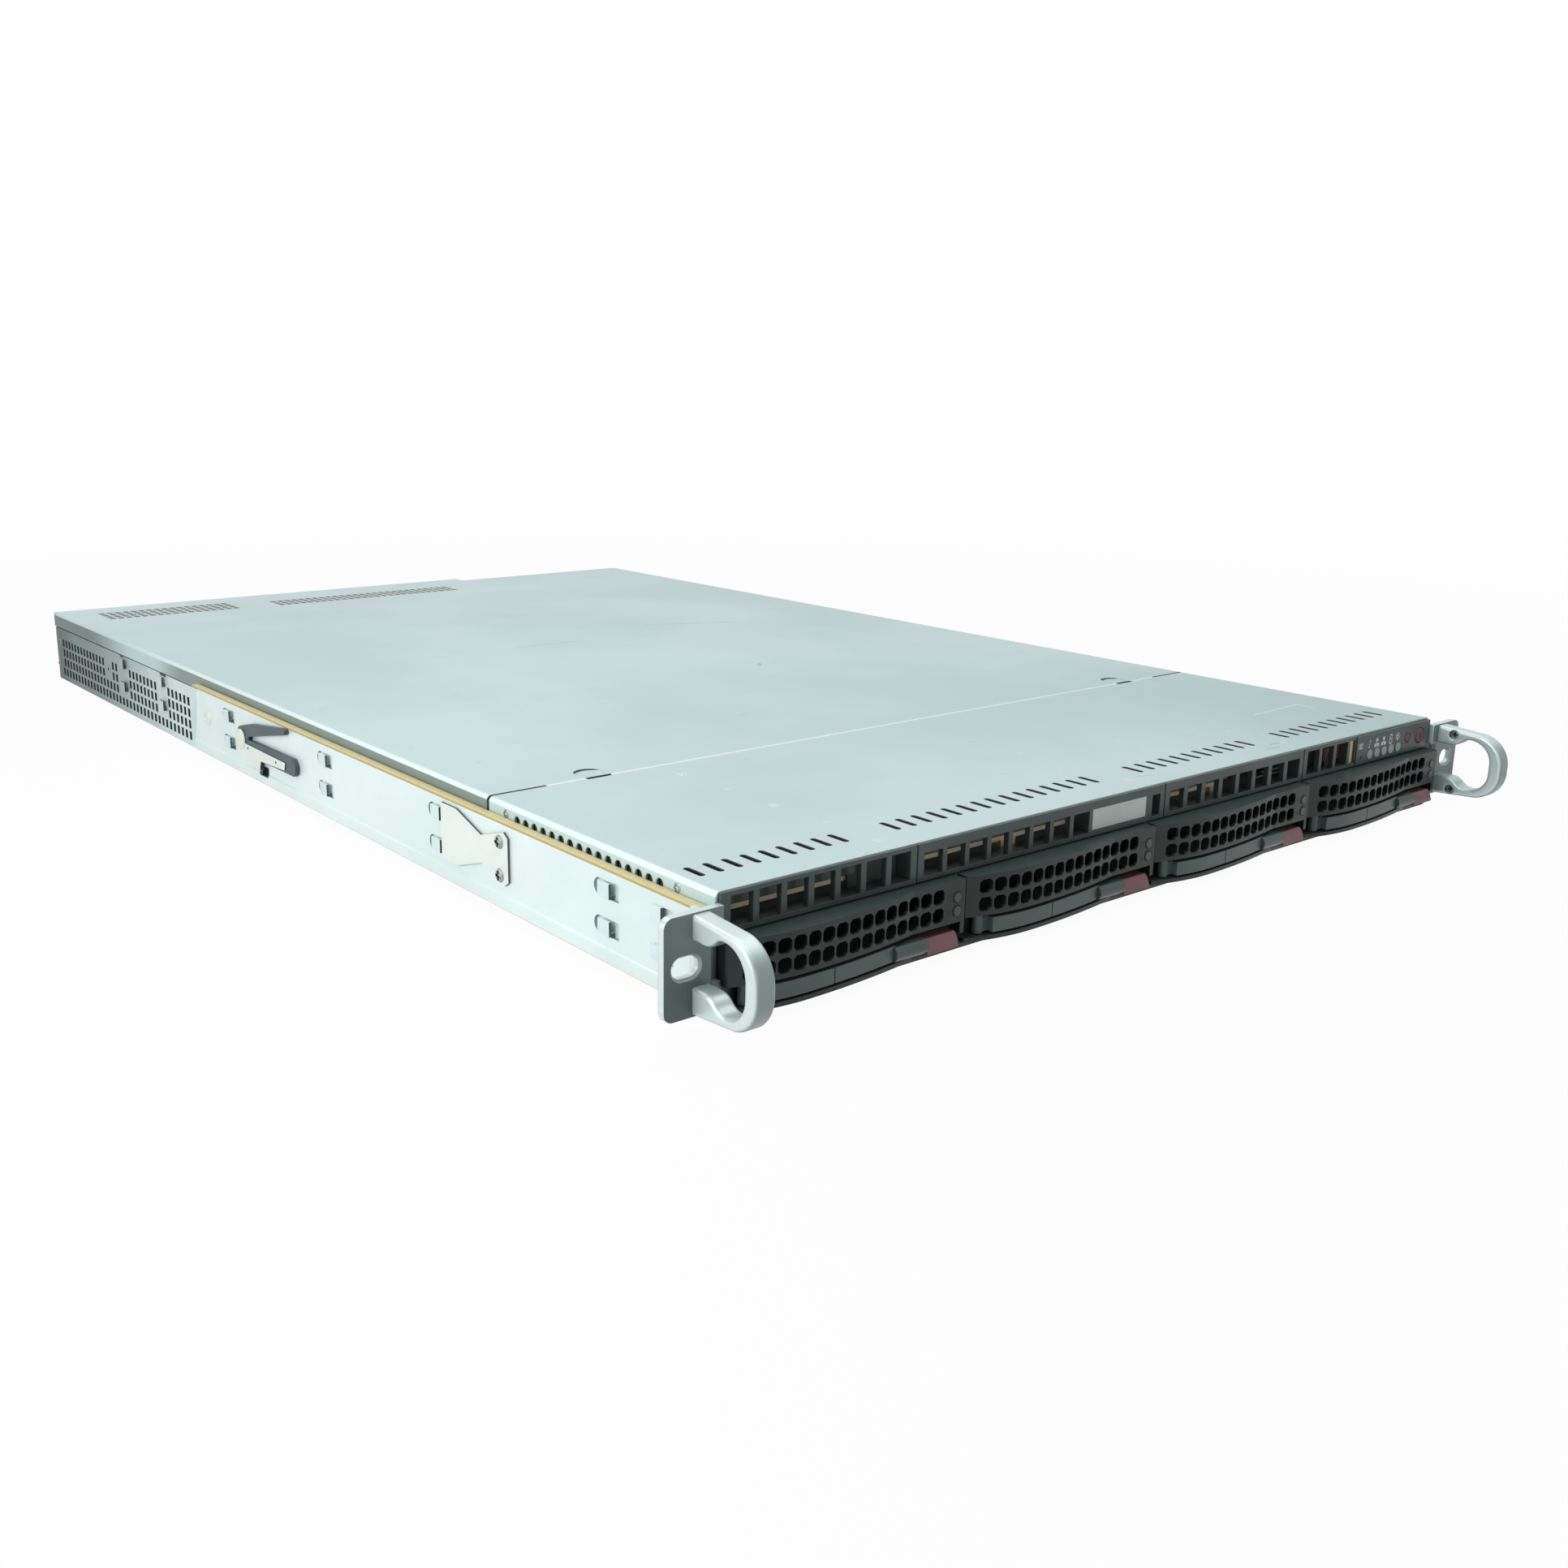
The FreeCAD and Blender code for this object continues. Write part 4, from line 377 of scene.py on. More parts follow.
# The tub: plated, with painted shade towards the rear, inside, on the hooks' fronts, on the vent walls and
# in the seam, and small notches in its walls
tubLook = {
    **steel,
    "colours": ((214, 233, 232), (200, 219, 218)),
    "metallic": 0.3,
    "roughness": (0.36, 0.18),
    # Painted shade, darker towards the rear and darkest at the rear corner
    "rearShade": ((82, 103, 100), (470, 650, 0, 0.85)),
    "rearCornerShade": ((44, 60, 57), (655, 700, 0, 0.7)),
    # Painted shade inside the tub, lighter towards the rear
    "inside": (50, 50, 46),
    "insideRear": ((104, 104, 96), (440, 460)),
    "insideBox": {"outside": (None, 217.5), "up": (1.15, None)},
    # Painted shade on the hooks' faces that look to the front
    "hookFrontShade": ((84, 98, 95), (-0.9, -0.6, 1, 0)),
    "hookBox": {"outside": (219, None)},
    # Painted shade on the walls of the side vents
    "ventWallShade": (62, 66, 62),
    "ventWallBox": {"outside": (217, None), "along": (450, None)},
    "ventWallUp": (2.5, 32),
    "ventWallFacing": 0.5,
    "notch": (38, 42, 42),
    "notches": ((497.3, 507.3), (569.3, 575.3)),
    "notchUp": (32.6, 32.8),
    "notchBox": {"outside": (218, None)},
    # The seam on the wall tops takes the notches' colour as painted shade
    "seamAlong": (142, 143.2),
    "seamBox": {"outside": (216, None), "up": (33, None)},
    "sill": (34, 38, 37),
    "sillBox": {"outside": (None, 217), "along": (None, 3), "up": (None, 6)},
}


def tubFinish():
    look = tubLook
    finish = Painted("tubSteel", look)
    # Painted shade towards the rear and at the rear corner
    for layer in ("rearShade", "rearCornerShade"):
        finish.fade(finish.y, look[layer])
    # Painted shade inside, lighter towards the rear
    inside = finish.box(**look["insideBox"])
    finish.paint(inside, look["inside"])
    finish.fade(finish.y, look["insideRear"], inside)
    # Painted shade on the hooks' front faces
    finish.fade(finish.facing(1), look["hookFrontShade"], finish.box(**look["hookBox"]))
    # Painted shade on the vent walls
    ventWallShade = (abs(finish.facing(0)) < look["ventWallFacing"]) * finish.box(**look["ventWallBox"])
    ventWallShade = ventWallShade * finish.between(finish.z, *look["ventWallUp"])
    finish.paint(ventWallShade, look["ventWallShade"])
    first, second = (finish.between(finish.y, *limits) for limits in look["notches"])
    notch = first.largest(second) * finish.z.ramp(*look["notchUp"]) * finish.box(**look["notchBox"])
    seam = finish.between(finish.y, *look["seamAlong"]) * finish.box(**look["seamBox"])
    finish.paint(notch.largest(seam), look["notch"])
    sill = finish.box(**look["sillBox"])
    finish.paint(sill, look["sill"])
    hollow = inside.largest(ventWallShade).largest(seam).largest(sill)
    return finish.close(finish.noise(*look["brush"]), hollow)


# The drive cage's top fades into painted shade towards the back
cageLook = {
    **steel,
    "colours": ((84, 96, 92), (70, 82, 79)),
    "metallic": 0,
    "roughness": (0.5, 0.1),
    "specular": 0.3,
    # Painted shade: the top darkens towards the back
    "dark": ((12, 14, 14), (9, 24)),
}


def cageFinish():
    finish = Painted("cagePlate", cageLook)
    # Painted shade towards the back
    finish.fade(finish.y, cageLook["dark"])
    return finish.close(Specular_IOR_Level=cageLook["specular"])


# The rails: pale steel, with painted shade on the windows' walls, yellow at the top and bottom
railLook = {
    **steel,
    "colours": ((226, 240, 239), (214, 229, 227)),
    "cloud": (10, 5, 0.6),
    "brush": (300, 3, 0.5, (1, 0.05, 1)),
    "metallic": 0.3,
    "roughness": (0.32, 0.16),
    "relief": 0.07,
    # Painted shade on the walls of the rail's windows
    "window": (150, 166, 163),
    "windowUp": (5, 35),
    "windowFacing": 0.5,
    "goldTop": ((196, 180, 122), (36.35, 36.5)),
    "goldBottom": ((196, 180, 122), (3.3, 3.5, 1, 0)),
}


def railFinish():
    look = railLook
    finish = Painted("railSteel", look)
    # Painted shade on the windows' walls
    window = (abs(finish.facing(0)) < look["windowFacing"]) * finish.between(finish.z, *look["windowUp"])
    finish.paint(window, look["window"])
    for layer in ("goldTop", "goldBottom"):
        finish.fade(finish.z, look[layer])
    return finish.close(finish.noise(*look["brush"]))


# The yellow top edge of each rail, with painted shade, darker and browner, on faces that don't look up
edgeLook = {
    **steel,
    "colours": ((206, 196, 150), (196, 184, 134)),
    "cloud": (700, 3, 0.6),
    "metallic": 0.1,
    "roughness": (0.45, 0.1),
    "relief": 0.1,
    # Painted shade, darker and browner, on faces that don't look up
    "outside": ((174, 156, 100), (0.3, 0.7, 1, 0)),
}


def edgeFinish():
    finish = Painted("goldEdge", edgeLook)
    # Painted shade on faces that don't look up
    finish.fade(finish.facing(2), edgeLook["outside"])
    return finish.close()


# A spring plate: bright face, with painted shade on its cut edges
springLook = {
    **steel,
    "colours": ((228, 236, 232), (216, 225, 218)),
    # Painted shade on the plate's cut edges
    "cutEdgeShade": (70, 78, 76),
    "faceFrom": 0.55,
}


def springFinish():
    finish = Painted("springSteel", springLook)
    # Painted shade on the cut edges
    cutEdgeShade = abs(finish.facing(0)) < springLook["faceFrom"]
    finish.paint(cutEdgeShade, springLook["cutEdgeShade"])
    return finish.close(finish.noise(*springLook["brush"]), cutEdgeShade)


# The ears: cast metal, with painted highlights at the sides and on top, painted shade to the front and grey
# painted shade below
castLook = {
    **steel,
    "colours": ((182, 199, 198), (170, 187, 186)),
    "cloud": (30, 3),
    "sand": (1400, 2),
    "roughness": (0.3, 0.1),
    "relief": 0.1,
    "depth": 0.0001,
    "edge": 1,
    # Painted highlight on faces that look sideways or up
    "light": (210, 225, 224),
    "sideHighlightFrom": (0.6, 0.95),
    "topFrom": (0.5, 0.9),
    # Painted shade on faces that look to the front, and on faces that look down
    "front": ((76, 88, 85), (-0.95, -0.55, 1, 0)),
    "frontShadeUp": (6, 42, 0.95, 0.7),
    "frontShadeAlong": (-14, -8, 0.5, 1),
    "belowShade": ((122, 136, 133), (-0.9, -0.4, 1, 0)),
}


def castFinish():
    look = castLook
    finish = Painted("castMetal", look)
    # Painted highlights at the sides and on top, painted shade to the front and below
    light = abs(finish.facing(0)).ramp(*look["sideHighlightFrom"]).largest(finish.facing(2).ramp(*look["topFrom"]))
    finish.paint(light, look["light"])
    near = finish.z.ramp(*look["frontShadeUp"]) * finish.y.ramp(*look["frontShadeAlong"])
    finish.fade(finish.facing(1), look["front"], near)
    finish.fade(finish.facing(2), look["belowShade"])
    return finish.close(finish.noise(*look["sand"]))


def mouldedFinish(name, colour, light, roughness=0.38, sparkle=0.12):
    colours = (colour, light)
    roughnesses = (roughness, plastic["grainRoughness"])
    look = {**plastic, "colours": colours, "roughness": roughnesses, "relief": sparkle}
    finish = Painted(name, look)
    grain = finish.noise(*look["grain"])
    return finish.close(grain, rough=grain, Coat_Weight=look["coat"], Specular_IOR_Level=look["specular"])


# The carrier's face: dark plastic, with a painted highlight on faces looking up and painted shade on faces
# looking back into its hollows
faceLook = {
    **plastic,
    "colours": ((30, 38, 37), (38, 47, 46)),
    "roughness": (0.26, 0.14),
    "relief": 0.12,
    "edge": 0.4,
    "specular": 0.35,
    # Painted highlight on faces that look up, painted shade on faces that look back into the hollows
    "aboveHighlight": ((66, 79, 77), (0.4, 0.8)),
    "behind": ((5, 6, 6), (0.2, 0.4)),
}


def faceFinish():
    look = faceLook
    finish = Painted("facePlastic", look)
    # Painted highlight on top faces, painted shade on faces that look back
    finish.fade(finish.facing(2), look["aboveHighlight"])
    finish.fade(finish.facing(1), look["behind"])
    grain = finish.noise(*look["grain"])
    return finish.close(grain, rough=grain, Specular_IOR_Level=look["specular"])


# Drives have a front in painted shade, and port shells are dark within
driveLook = {
    **steel,
    "colours": ((138, 150, 148), (122, 133, 131)),
    # Painted shade on the drives' front behind the grilles
    "dark": (16, 18, 18),
    "darkBox": {"along": (None, 18)},
}

portLook = {
    **steel,
    "colours": ((206, 212, 206), (180, 187, 182)),
    "cloud": (60, 3),
    "spread": None,
    "metallic": 0.4,
    "roughness": (0.36, 0.1),
    "relief": 0.05,
    "dark": (46, 50, 50),
    "darkBox": {"along": (None, 702.8)},
}


def partDarkFinish(name, look):
    finish = Painted(name, look)
    dark = finish.box(**look["darkBox"])
    finish.paint(dark, look["dark"])
    return finish.close(covered=dark)


# The supplies: plated, with black inlets and pull loops
supplyLook = {
    **steel,
    "colours": ((190, 200, 199), (172, 183, 182)),
    "roughness": (0.36, 0.16),
    "edge": 0.5,
    "left": 78.1,
    "pitch": 69,
    "gap": 0.5,
    "inletAcross": (4.9, 32.6),
    "inletUp": (15.3, 35.8),
    "inletDepth": (678, 693.95),
    "loopFrom": 694.05,
    "black": (34, 37, 37),
}


def supplyFinish():
    look = supplyLook
    finish = Painted("supplySteel", look)
    left, pitch = look["left"], look["pitch"]
    across = finish.x - left - (finish.x > left + pitch - look["gap"]) * pitch
    inlet = finish.between(across, *look["inletAcross"]) * finish.between(finish.z, *look["inletUp"])
    inlet = inlet * finish.between(finish.y, *look["inletDepth"])
    black = inlet.largest(finish.y > look["loopFrom"])
    finish.paint(black, look["black"])
    return finish.close(covered=black)


# Circuit boards, with tracks as long thin clouds
boardLook = {
    **steel,
    "colours": ((34, 84, 46), (52, 104, 62)),
    "cloud": (220, 2, 0.5, (1, 0.2, 1)),
    "spread": (0.5, 0.55),
    "metallic": 0,
    "roughness": (0.45, 0),
    "relief": 0.1,
}


cover = coverFinish()
tub = tubFinish()
plated = platedFinish("platedSteel", (200, 213, 212), (184, 198, 197))
cagePlate = cageFinish()
rail = railFinish()
goldEdge = edgeFinish()
bright = platedFinish("brightSteel", (158, 168, 164), (138, 148, 144))
paleSteel = platedFinish("paleSteel", (226, 232, 220), (212, 218, 204))
spring = springFinish()
tan = platedFinish("tanSteel", (238, 224, 188), (222, 206, 168))
cast = castFinish()
leverGrey = mouldedFinish("leverGrey", (56, 71, 76), (66, 82, 86), 0.4, 0.06)
black = mouldedFinish("blackPlastic", (66, 78, 76), (76, 88, 86), 0.3)
leverBlack = mouldedFinish("leverBlack", (82, 96, 93), (92, 106, 103), 0.34)
facePlastic = faceFinish()
darkPlastic = mouldedFinish("fanPlastic", (22, 22, 23), (30, 30, 31), 0.5)
maroon = mouldedFinish("maroonPlastic", (142, 98, 105), (152, 108, 115), 0.4)
redPlastic = mouldedFinish("redPlastic", (104, 48, 48), (116, 56, 54), 0.45)
buttonPlastic = mouldedFinish("buttonPlastic", (112, 70, 74), (122, 78, 82), 0.4)
lensPlastic = mouldedFinish("lensPlastic", (172, 184, 180), (182, 193, 189), 0.3, 0.03)
badge = mouldedFinish("palePlate", (222, 230, 227), (214, 222, 219), 0.3, 0.04)
sink = platedFinish("sinkMetal", (196, 199, 200), (182, 186, 187))
driveMetal = partDarkFinish("driveMetal", driveLook)
supplySteel = supplyFinish()
portSteel = partDarkFinish("portSteel", portLook)
board = Painted("boardGreen", boardLook).close()
printWhite = mouldedFinish("printWhite", (244, 250, 248), (236, 242, 240), 0.5, 0.02)
bracketGrey = mouldedFinish("bracketGrey", (88, 112, 112), (78, 100, 100), 0.4, 0.05)
# Black print and parts, and painted shade in screw recesses, holes and slits
blackAndShade = mouldedFinish("blackAndShade", (10, 12, 12), (14, 16, 16), 0.5, 0.02)
# Painted highlight on the seam edge, and the pale socket dots
paleAndHighlight = platedFinish("paleAndHighlight", (246, 252, 252), (240, 248, 248))
pinPale = platedFinish("pinPale", (222, 236, 236), (204, 221, 221))

dress(cover, "front_cover", "rear_cover")
dress(tub, "chassis_tub")
dress(plated, "rear_panel", "fan_bracket")
dress(cagePlate, "drive_cage")
dress(rail, "rail_left", "rail_right")
dress(leverGrey, "rail_lever_left", "rail_lever_right")
dress(spring, "rail_springs")
dress(portSteel, "rear_ports")
dress(tan, "front_brace")
dress(cast, "ear_left", "ear_right")
dress(black, "front_strip", "control_panel")
dress(badge, "badge_plate")
dress(darkPlastic, "front_sockets")
dress(lensPlastic, "panel_lamps")
dress(buttonPlastic, "power_button", "reset_button")
dress(darkPlastic, "fan_frames", *(f"fan_rotor_{number}" for number in range(1, 5)))
dress(board, "backplane", "main_board", "memory_modules")
dress(sink, "heat_sinks")
dress(supplySteel, "supply_left", "supply_right")
dress(maroon, "supply_left_latch", "supply_right_latch")
carrierParts = (
    (facePlastic, "face"), (leverBlack, "lever"), (maroon, "latch"),
    (black, "lights"), (driveMetal, "drive"), (sink, "tray"),
)
for finish, part in carrierParts:
    dress(finish, *(f"carrier_{number}_{part}" for number in range(1, 5)))

print("materials set")


def addObject(name, data):
    added = bpy.data.objects.new(name, data)
    bpy.context.scene.collection.objects.link(added)
    return added


# New pieces are made in millimetres, ride on a body and take a finish
pieceShape = {
    "weld": 0.0005,
    "sharpAngle": 35,
}


def makePiece(name, form, finish, smooth=True, body="chassis"):
    mesh = bpy.data.meshes.new(name)
    bmesh.ops.remove_doubles(form, verts=form.verts, dist=pieceShape["weld"])
    bmesh.ops.recalc_face_normals(form, faces=form.faces)
    bmesh.ops.scale(form, vec=(mm, mm, mm), verts=form.verts)
    form.to_mesh(mesh)
    form.free()
    mesh.materials.append(finish.material)
    piece = addObject(name, mesh)
    if smooth:
        mesh.shade_smooth()
        mesh.set_sharp_from_angle(angle=math.radians(pieceShape["sharpAngle"]))
    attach(piece, body)
    return piece


# Faces between two closed loops
def bridge(form, first, second):
    for step in range(len(first)):
        following = (step + 1) % len(first)
        form.faces.new([first[step], first[following], second[following], second[step]])


# Faces between rows of two points
def ribbon(form, rows):
    for first, second in zip(rows, rows[1:]):
        form.faces.new([first[0], first[1], second[1], second[0]])


# Turns and moves the points that a form got since it had a number of them
def stand(form, start, place, direction):
    turn = Vector((0, 0, 1)).rotation_difference(Vector(direction))
    form.verts.ensure_lookup_table()
    for index in range(start, len(form.verts)):
        form.verts[index].co = turn @ form.verts[index].co + Vector(place)


# A turned part round the z axis; the profile is (radius, height) upwards
def turned(form, profile, segments):
    rings = []
    for radius, height in profile:
        angles = [2 * math.pi * step / segments for step in range(segments if radius else 1)]
        rings.append([
            form.verts.new((radius * math.cos(angle), radius * math.sin(angle), height)) for angle in angles
        ])
    for lower, upper in zip(rings, rings[1:]):
        for step in range(segments):
            following = (step + 1) % segments
            corners = [lower[step % len(lower)], lower[following % len(lower)]]
            corners += [upper[following % len(upper)], upper[step % len(upper)]]
            unique = list(dict.fromkeys(corners))
            if len(unique) > 2:
                form.faces.new(unique)
    return rings


# A turned part along a direction from a place; its shape is (segments, profile)
def addTurned(form, shape, place, direction):
    segments, profile = shape
    start = len(form.verts)
    turned(form, profile, segments)
    stand(form, start, place, direction)


# A bar along an axis; its section's numbers are the other two axes
def addBar(form, section, axis, start, end):
    ends = []
    for reach in (start, end):
        ring = []
        for corner in section:
            place = list(corner)
            place.insert(axis, reach)
            ring.append(form.verts.new(place))
        ends.append(ring)
        form.faces.new(ring)
    bridge(form, *ends)


# A screw head, in shares of its radius and its dome
screwShape = {
    "segments": 24,
    "foot": (0.96, -0.3),
    "profile": ((1, 0), (0.86, 0.7), (0.72, 1)),
    "arm": 0.68,
    "width": 0.22,
    "depth": 0.4,
    "taper": 0.8,
}


# The cross recess goes into a form of its own, dark with painted shade
def screwHead(form, dark, place, direction, radius, dome):
    shape = screwShape
    arm, width = radius * shape["arm"], radius * shape["width"]
    start, darkStart = len(form.verts), len(dark.verts)
    footRadius, footHeight = shape["foot"]
    profile = [(radius * footRadius, footHeight)]
    profile += [(radius * share, dome * height) for share, height in shape["profile"]]
    rim = turned(form, profile, shape["segments"])[-1]
    corners = [(arm, -width), (arm, width), (width, width)]
    for step in range(3):
        corners += [(-y, x) for x, y in corners[-3:]]
    taper, floor = shape["taper"], dome - radius * shape["depth"]
    top = [form.verts.new((x, y, dome)) for x, y in corners]
    rimOfDark = [dark.verts.new((x, y, dome)) for x, y in corners]
    low = [dark.verts.new((x * taper, y * taper, floor)) for x, y in corners]
    bridge(dark, rimOfDark, low)
    dark.faces.new(low)
    edges = []
    for loop in (rim, top):
        for index in range(len(loop)):
            pair = (loop[index], loop[(index + 1) % len(loop)])
            edges.append(form.edges.get(pair) or form.edges.new(pair))
    bmesh.ops.triangle_fill(form, use_beauty=True, edges=edges)
    stand(form, start, place, direction)
    stand(dark, darkStart, place, direction)


# Rows of screws: how far out the face is, the sides, and 1 to look outwards or -1 inwards
screwRows = {
    "skirt": {"face": 218.5, "on": (-1, 1), "way": 1, "radius": 1.9, "dome": 0.3,
              "places": ((129.1, 39), (20.8, 39))},
    "handle": {"face": 224.2, "on": (-1, 1), "way": -1, "radius": 1.9, "dome": 0.3,
               "places": ((-10.6, 35.6), (-11.6, 8.9))},
    "rear": {"face": 218.55, "on": (-1,), "way": 1, "radius": 1.8, "dome": 0.5,
             "places": ((701, 10.2), (695.3, 25), (597.6, 22.1))},
    "spring": {"face": 223.5, "on": (-1, 1), "way": 1, "radius": 2.8, "dome": 0.9,
               "places": ((126.2, 16.4), (126.2, 29.6))},
}


def makeScrews():
    form, dark = bmesh.new(), bmesh.new()
    for row in screwRows.values():
        for side in row["on"]:
            for place in row["places"]:
                where, direction = (side * row["face"], *place), (side * row["way"], 0, 0)
                screwHead(form, dark, where, direction, row["radius"], row["dome"])
    makePiece("small_screws", form, bright)
    makePiece("screw_crosses", dark, blackAndShade, False)


# The turned fasteners on each rail
fasteners = {
    "pivot": {"face": 224.8, "place": (374.6, 22), "shape": (40, (
        (0, -3.5), (2.4, -3.5), (2.4, 0), (4.9, 0), (5.2, 0.3),
        (5.1, 0.8), (4.5, 1.25), (3.2, 1.5), (0, 1.5),
    ))},
    "rivet": {"face": 222.5, "place": (425.3, 23.3), "shape": (32, (
        (0, 0), (4, 0), (3.95, 0.4), (3.3, 0.9), (1.6, 1.15), (1.2, 0.8), (0, 0.7),
    ))},
    "pin": {"face": 222.5, "place": (173.1, 24.1), "shape": (24, (
        (0, 0), (2.2, 0), (2.15, 0.3), (1.4, 0.5), (0, 0.55),
    ))},
}


def makeFasteners():
    form = bmesh.new()
    for side in sides.values():
        for part in fasteners.values():
            addTurned(form, part["shape"], (side * part["face"], *part["place"]), (side, 0, 0))
    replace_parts(makePiece("fasteners", form, paleSteel), "rail_fasteners")


# Hooks in the rail's front windows
frontHooks = {
    "section": (
        (221.3, 29.3), (221.3, 28.2), (222.6, 28.2), (222.6, 23),
        (223.7, 23), (223.7, 28.7), (223.2, 29.3),
    ),
    "rows": ((13.4, 18.9), (27, 32.5)),
}


def makeFrontHooks():
    form = bmesh.new()
    for side in sides.values():
        for low, high in frontHooks["rows"]:
            addBar(form, [(side * across, along) for across, along in frontHooks["section"]], 2, low, high)
    makePiece("front_hooks", form, tub, False)


# Strips along each rail: a pale strip behind the windows, painted light standing in for the lit wall seen
# through them, and the yellow top edge
railStrips = {
    # Painted light: a pale strip close behind the windows stands in for the lit wall seen through them
    "litBacking": {
        "section": (
            (219.7, 10.6), (220.9, 11.2), (220.9, 34.2), (219.7, 34.8),
            (219.7, 35), (221.15, 34.3), (221.15, 11.1), (219.7, 10.4),
        ),
        "run": (4, 444),
    },
    "edge": {
        "section": (
            (218.9, 36.5), (218.9, 37.55), (219.1, 37.7), (222.1, 37.7),
            (222.5, 37.45), (222.7, 37), (222.7, 36.5),
        ),
        "run": (1.2, 445.2),
    },
}


def makeRailStrips():
    for kind, finish, smooth in (("litBacking", rail, False), ("edge", goldEdge, True)):
        strip = railStrips[kind]
        for name, side in sides.items():
            form = bmesh.new()
            addBar(form, [(side * across, up) for across, up in strip["section"]], 1, *strip["run"])
            makePiece(f"rail_{kind}_{name}", form, finish, smooth)


# Behind the right cells: a raised socket, its dark contact and a wall
socketMouth = {
    "outside": (132.2, 147.4, 33, 39),
    "opening": (135, 142.2, 34.6, 37.4),
    "depth": (3.2, 4.8),
    "lip": 0.4,
    "foot": (134, 146, 29.65, 33),
    "footInset": (0.3, 0.2),
    "contact": (145.2, 147.5, 33.2, 38.2),
    "contactDepth": 0.8,
    "contactCorner": (0.4, 0.3),
    "dots": (37.2, 35.4),
    "dot": (12, ((0.55, -0.02), (0.4, 0.12), (0, 0.16))),
    "wall": ((137.5, 6.7), (137.5, 7.3), (147.6, 7.3), (147.6, 6.7)),
    "wallHeight": (29.65, 40.6),
}


def rectangle(left, right, low, high):
    return [(left, low), (right, low), (right, high), (left, high)]


def makeSocketMouth():
    look = socketMouth
    front, back = look["depth"]
    outer, inner = rectangle(*look["outside"]), rectangle(*look["opening"])
    form = bmesh.new()
    rings = []
    for corners, along in ((outer, back), (outer, front), (inner, front), (inner, back - look["lip"])):
        rings.append([form.verts.new((across, along, up)) for across, up in corners])
    for first, second in zip(rings, rings[1:]):
        bridge(form, first, second)
    form.faces.new(rings[0])
    form.faces.new(rings[3])
    makePiece("socket_mouth", form, redPlastic, False)
    dark = bmesh.new()
    left, right, low, high = look["contact"]
    nose = front - look["contactDepth"]
    aside, behind = look["contactCorner"]
    section = [(left, front), (left, nose + behind), (left + aside, nose)]
    section += [(right - aside, nose), (right, nose + behind), (right, front)]
    addBar(dark, section, 2, low, high)
    dots = bmesh.new()
    for up in look["dots"]:
        addTurned(dots, look["dot"], ((left + right) / 2, nose, up), (0, -1, 0))
    left, right, low, high = look["foot"]
    insetFront, insetBack = look["footInset"]
    addBar(dark, rectangle(left, right, front + insetFront, back - insetBack), 2, low, high)
    makePiece("socket_contact", dark, blackAndShade, False)
    makePiece("socket_dots", dots, paleAndHighlight)
    wall = bmesh.new()
    addBar(wall, look["wall"], 2, *look["wallHeight"])
    makePiece("socket_wall", wall, tan, False)


# Behind the cells: grey brackets with one hole each, dark with painted shade, and two bright rods
cellBrackets = {
    "places": ((-134.6, -123.4, -132.3), (107.6, 120.8, 112.4)),
    "front": 8.4,
    "thick": 0.8,
    "low": 29.65,
    "high": 39.6,
    "foot": 3,
    "toe": 0.8,
    "holeHeight": 34.4,
    "hole": (20, ((1.4, 0), (1.35, 0.1), (1.05, 0.02), (0, 0.02))),
    "rods": ((88, 107.4, 31.4), (92, 107.4, 33.2)),
    "rodRadius": 0.45,
    "rodSegments": 12,
}


def makeCellBrackets():
    look = cellBrackets
    front, low, high = look["front"], look["low"], look["high"]
    back = front + look["thick"]
    form, holes, rods = bmesh.new(), bmesh.new(), bmesh.new()
    toe = front - look["toe"]
    section = [(front, high), (front, low + look["foot"]), (toe, low), (back, low), (back, high)]
    for left, right, middle in look["places"]:
        addBar(form, section, 0, left, right)
        addTurned(holes, look["hole"], (middle, front, look["holeHeight"]), (0, -1, 0))
    makePiece("cell_brackets", form, bracketGrey, False)
    makePiece("bracket_holes", holes, blackAndShade)
    radius = look["rodRadius"]
    for left, right, up in look["rods"]:
        profile = [(0, 0), (radius, 0), (radius, right - left), (0, right - left)]
        addTurned(rods, (look["rodSegments"], profile), (left, front, up), (1, 0, 0))
    makePiece("cell_rods", rods, bright)


# Flat marks, a hair proud of a face that looks to the front
def flatLoop(form, points, front):
    form.faces.new([form.verts.new((across, front, up)) for across, up in points])


def flatRing(form, centre, outer, inner, front, start=0, end=360, segments=20):
    rings = []
    for step in range(segments + 1):
        angle = math.radians(start + (end - start) * step / segments)
        across, up = math.cos(angle), math.sin(angle)
        rings.append([
            form.verts.new((centre[0] + radius * across, front, centre[1] + radius * up))
            for radius in (inner, outer)
        ])
    ribbon(form, rings)


# A sign: bars (left, right, low, high), rings (across, up, outer, inner, more) and outlines
def flatSign(form, sign, place, front):
    def moved(points):
        return [(place[0] + across, place[1] + up) for across, up in points]

    for bar in sign.get("bars", ()):
        flatLoop(form, moved(rectangle(*bar)), front)
    for across, up, outer, inner, *more in sign.get("rings", ()):
        flatRing(form, moved([(across, up)])[0], outer, inner, front, *more)
    for outline in sign.get("outlines", ()):
        flatLoop(form, moved(outline), front)


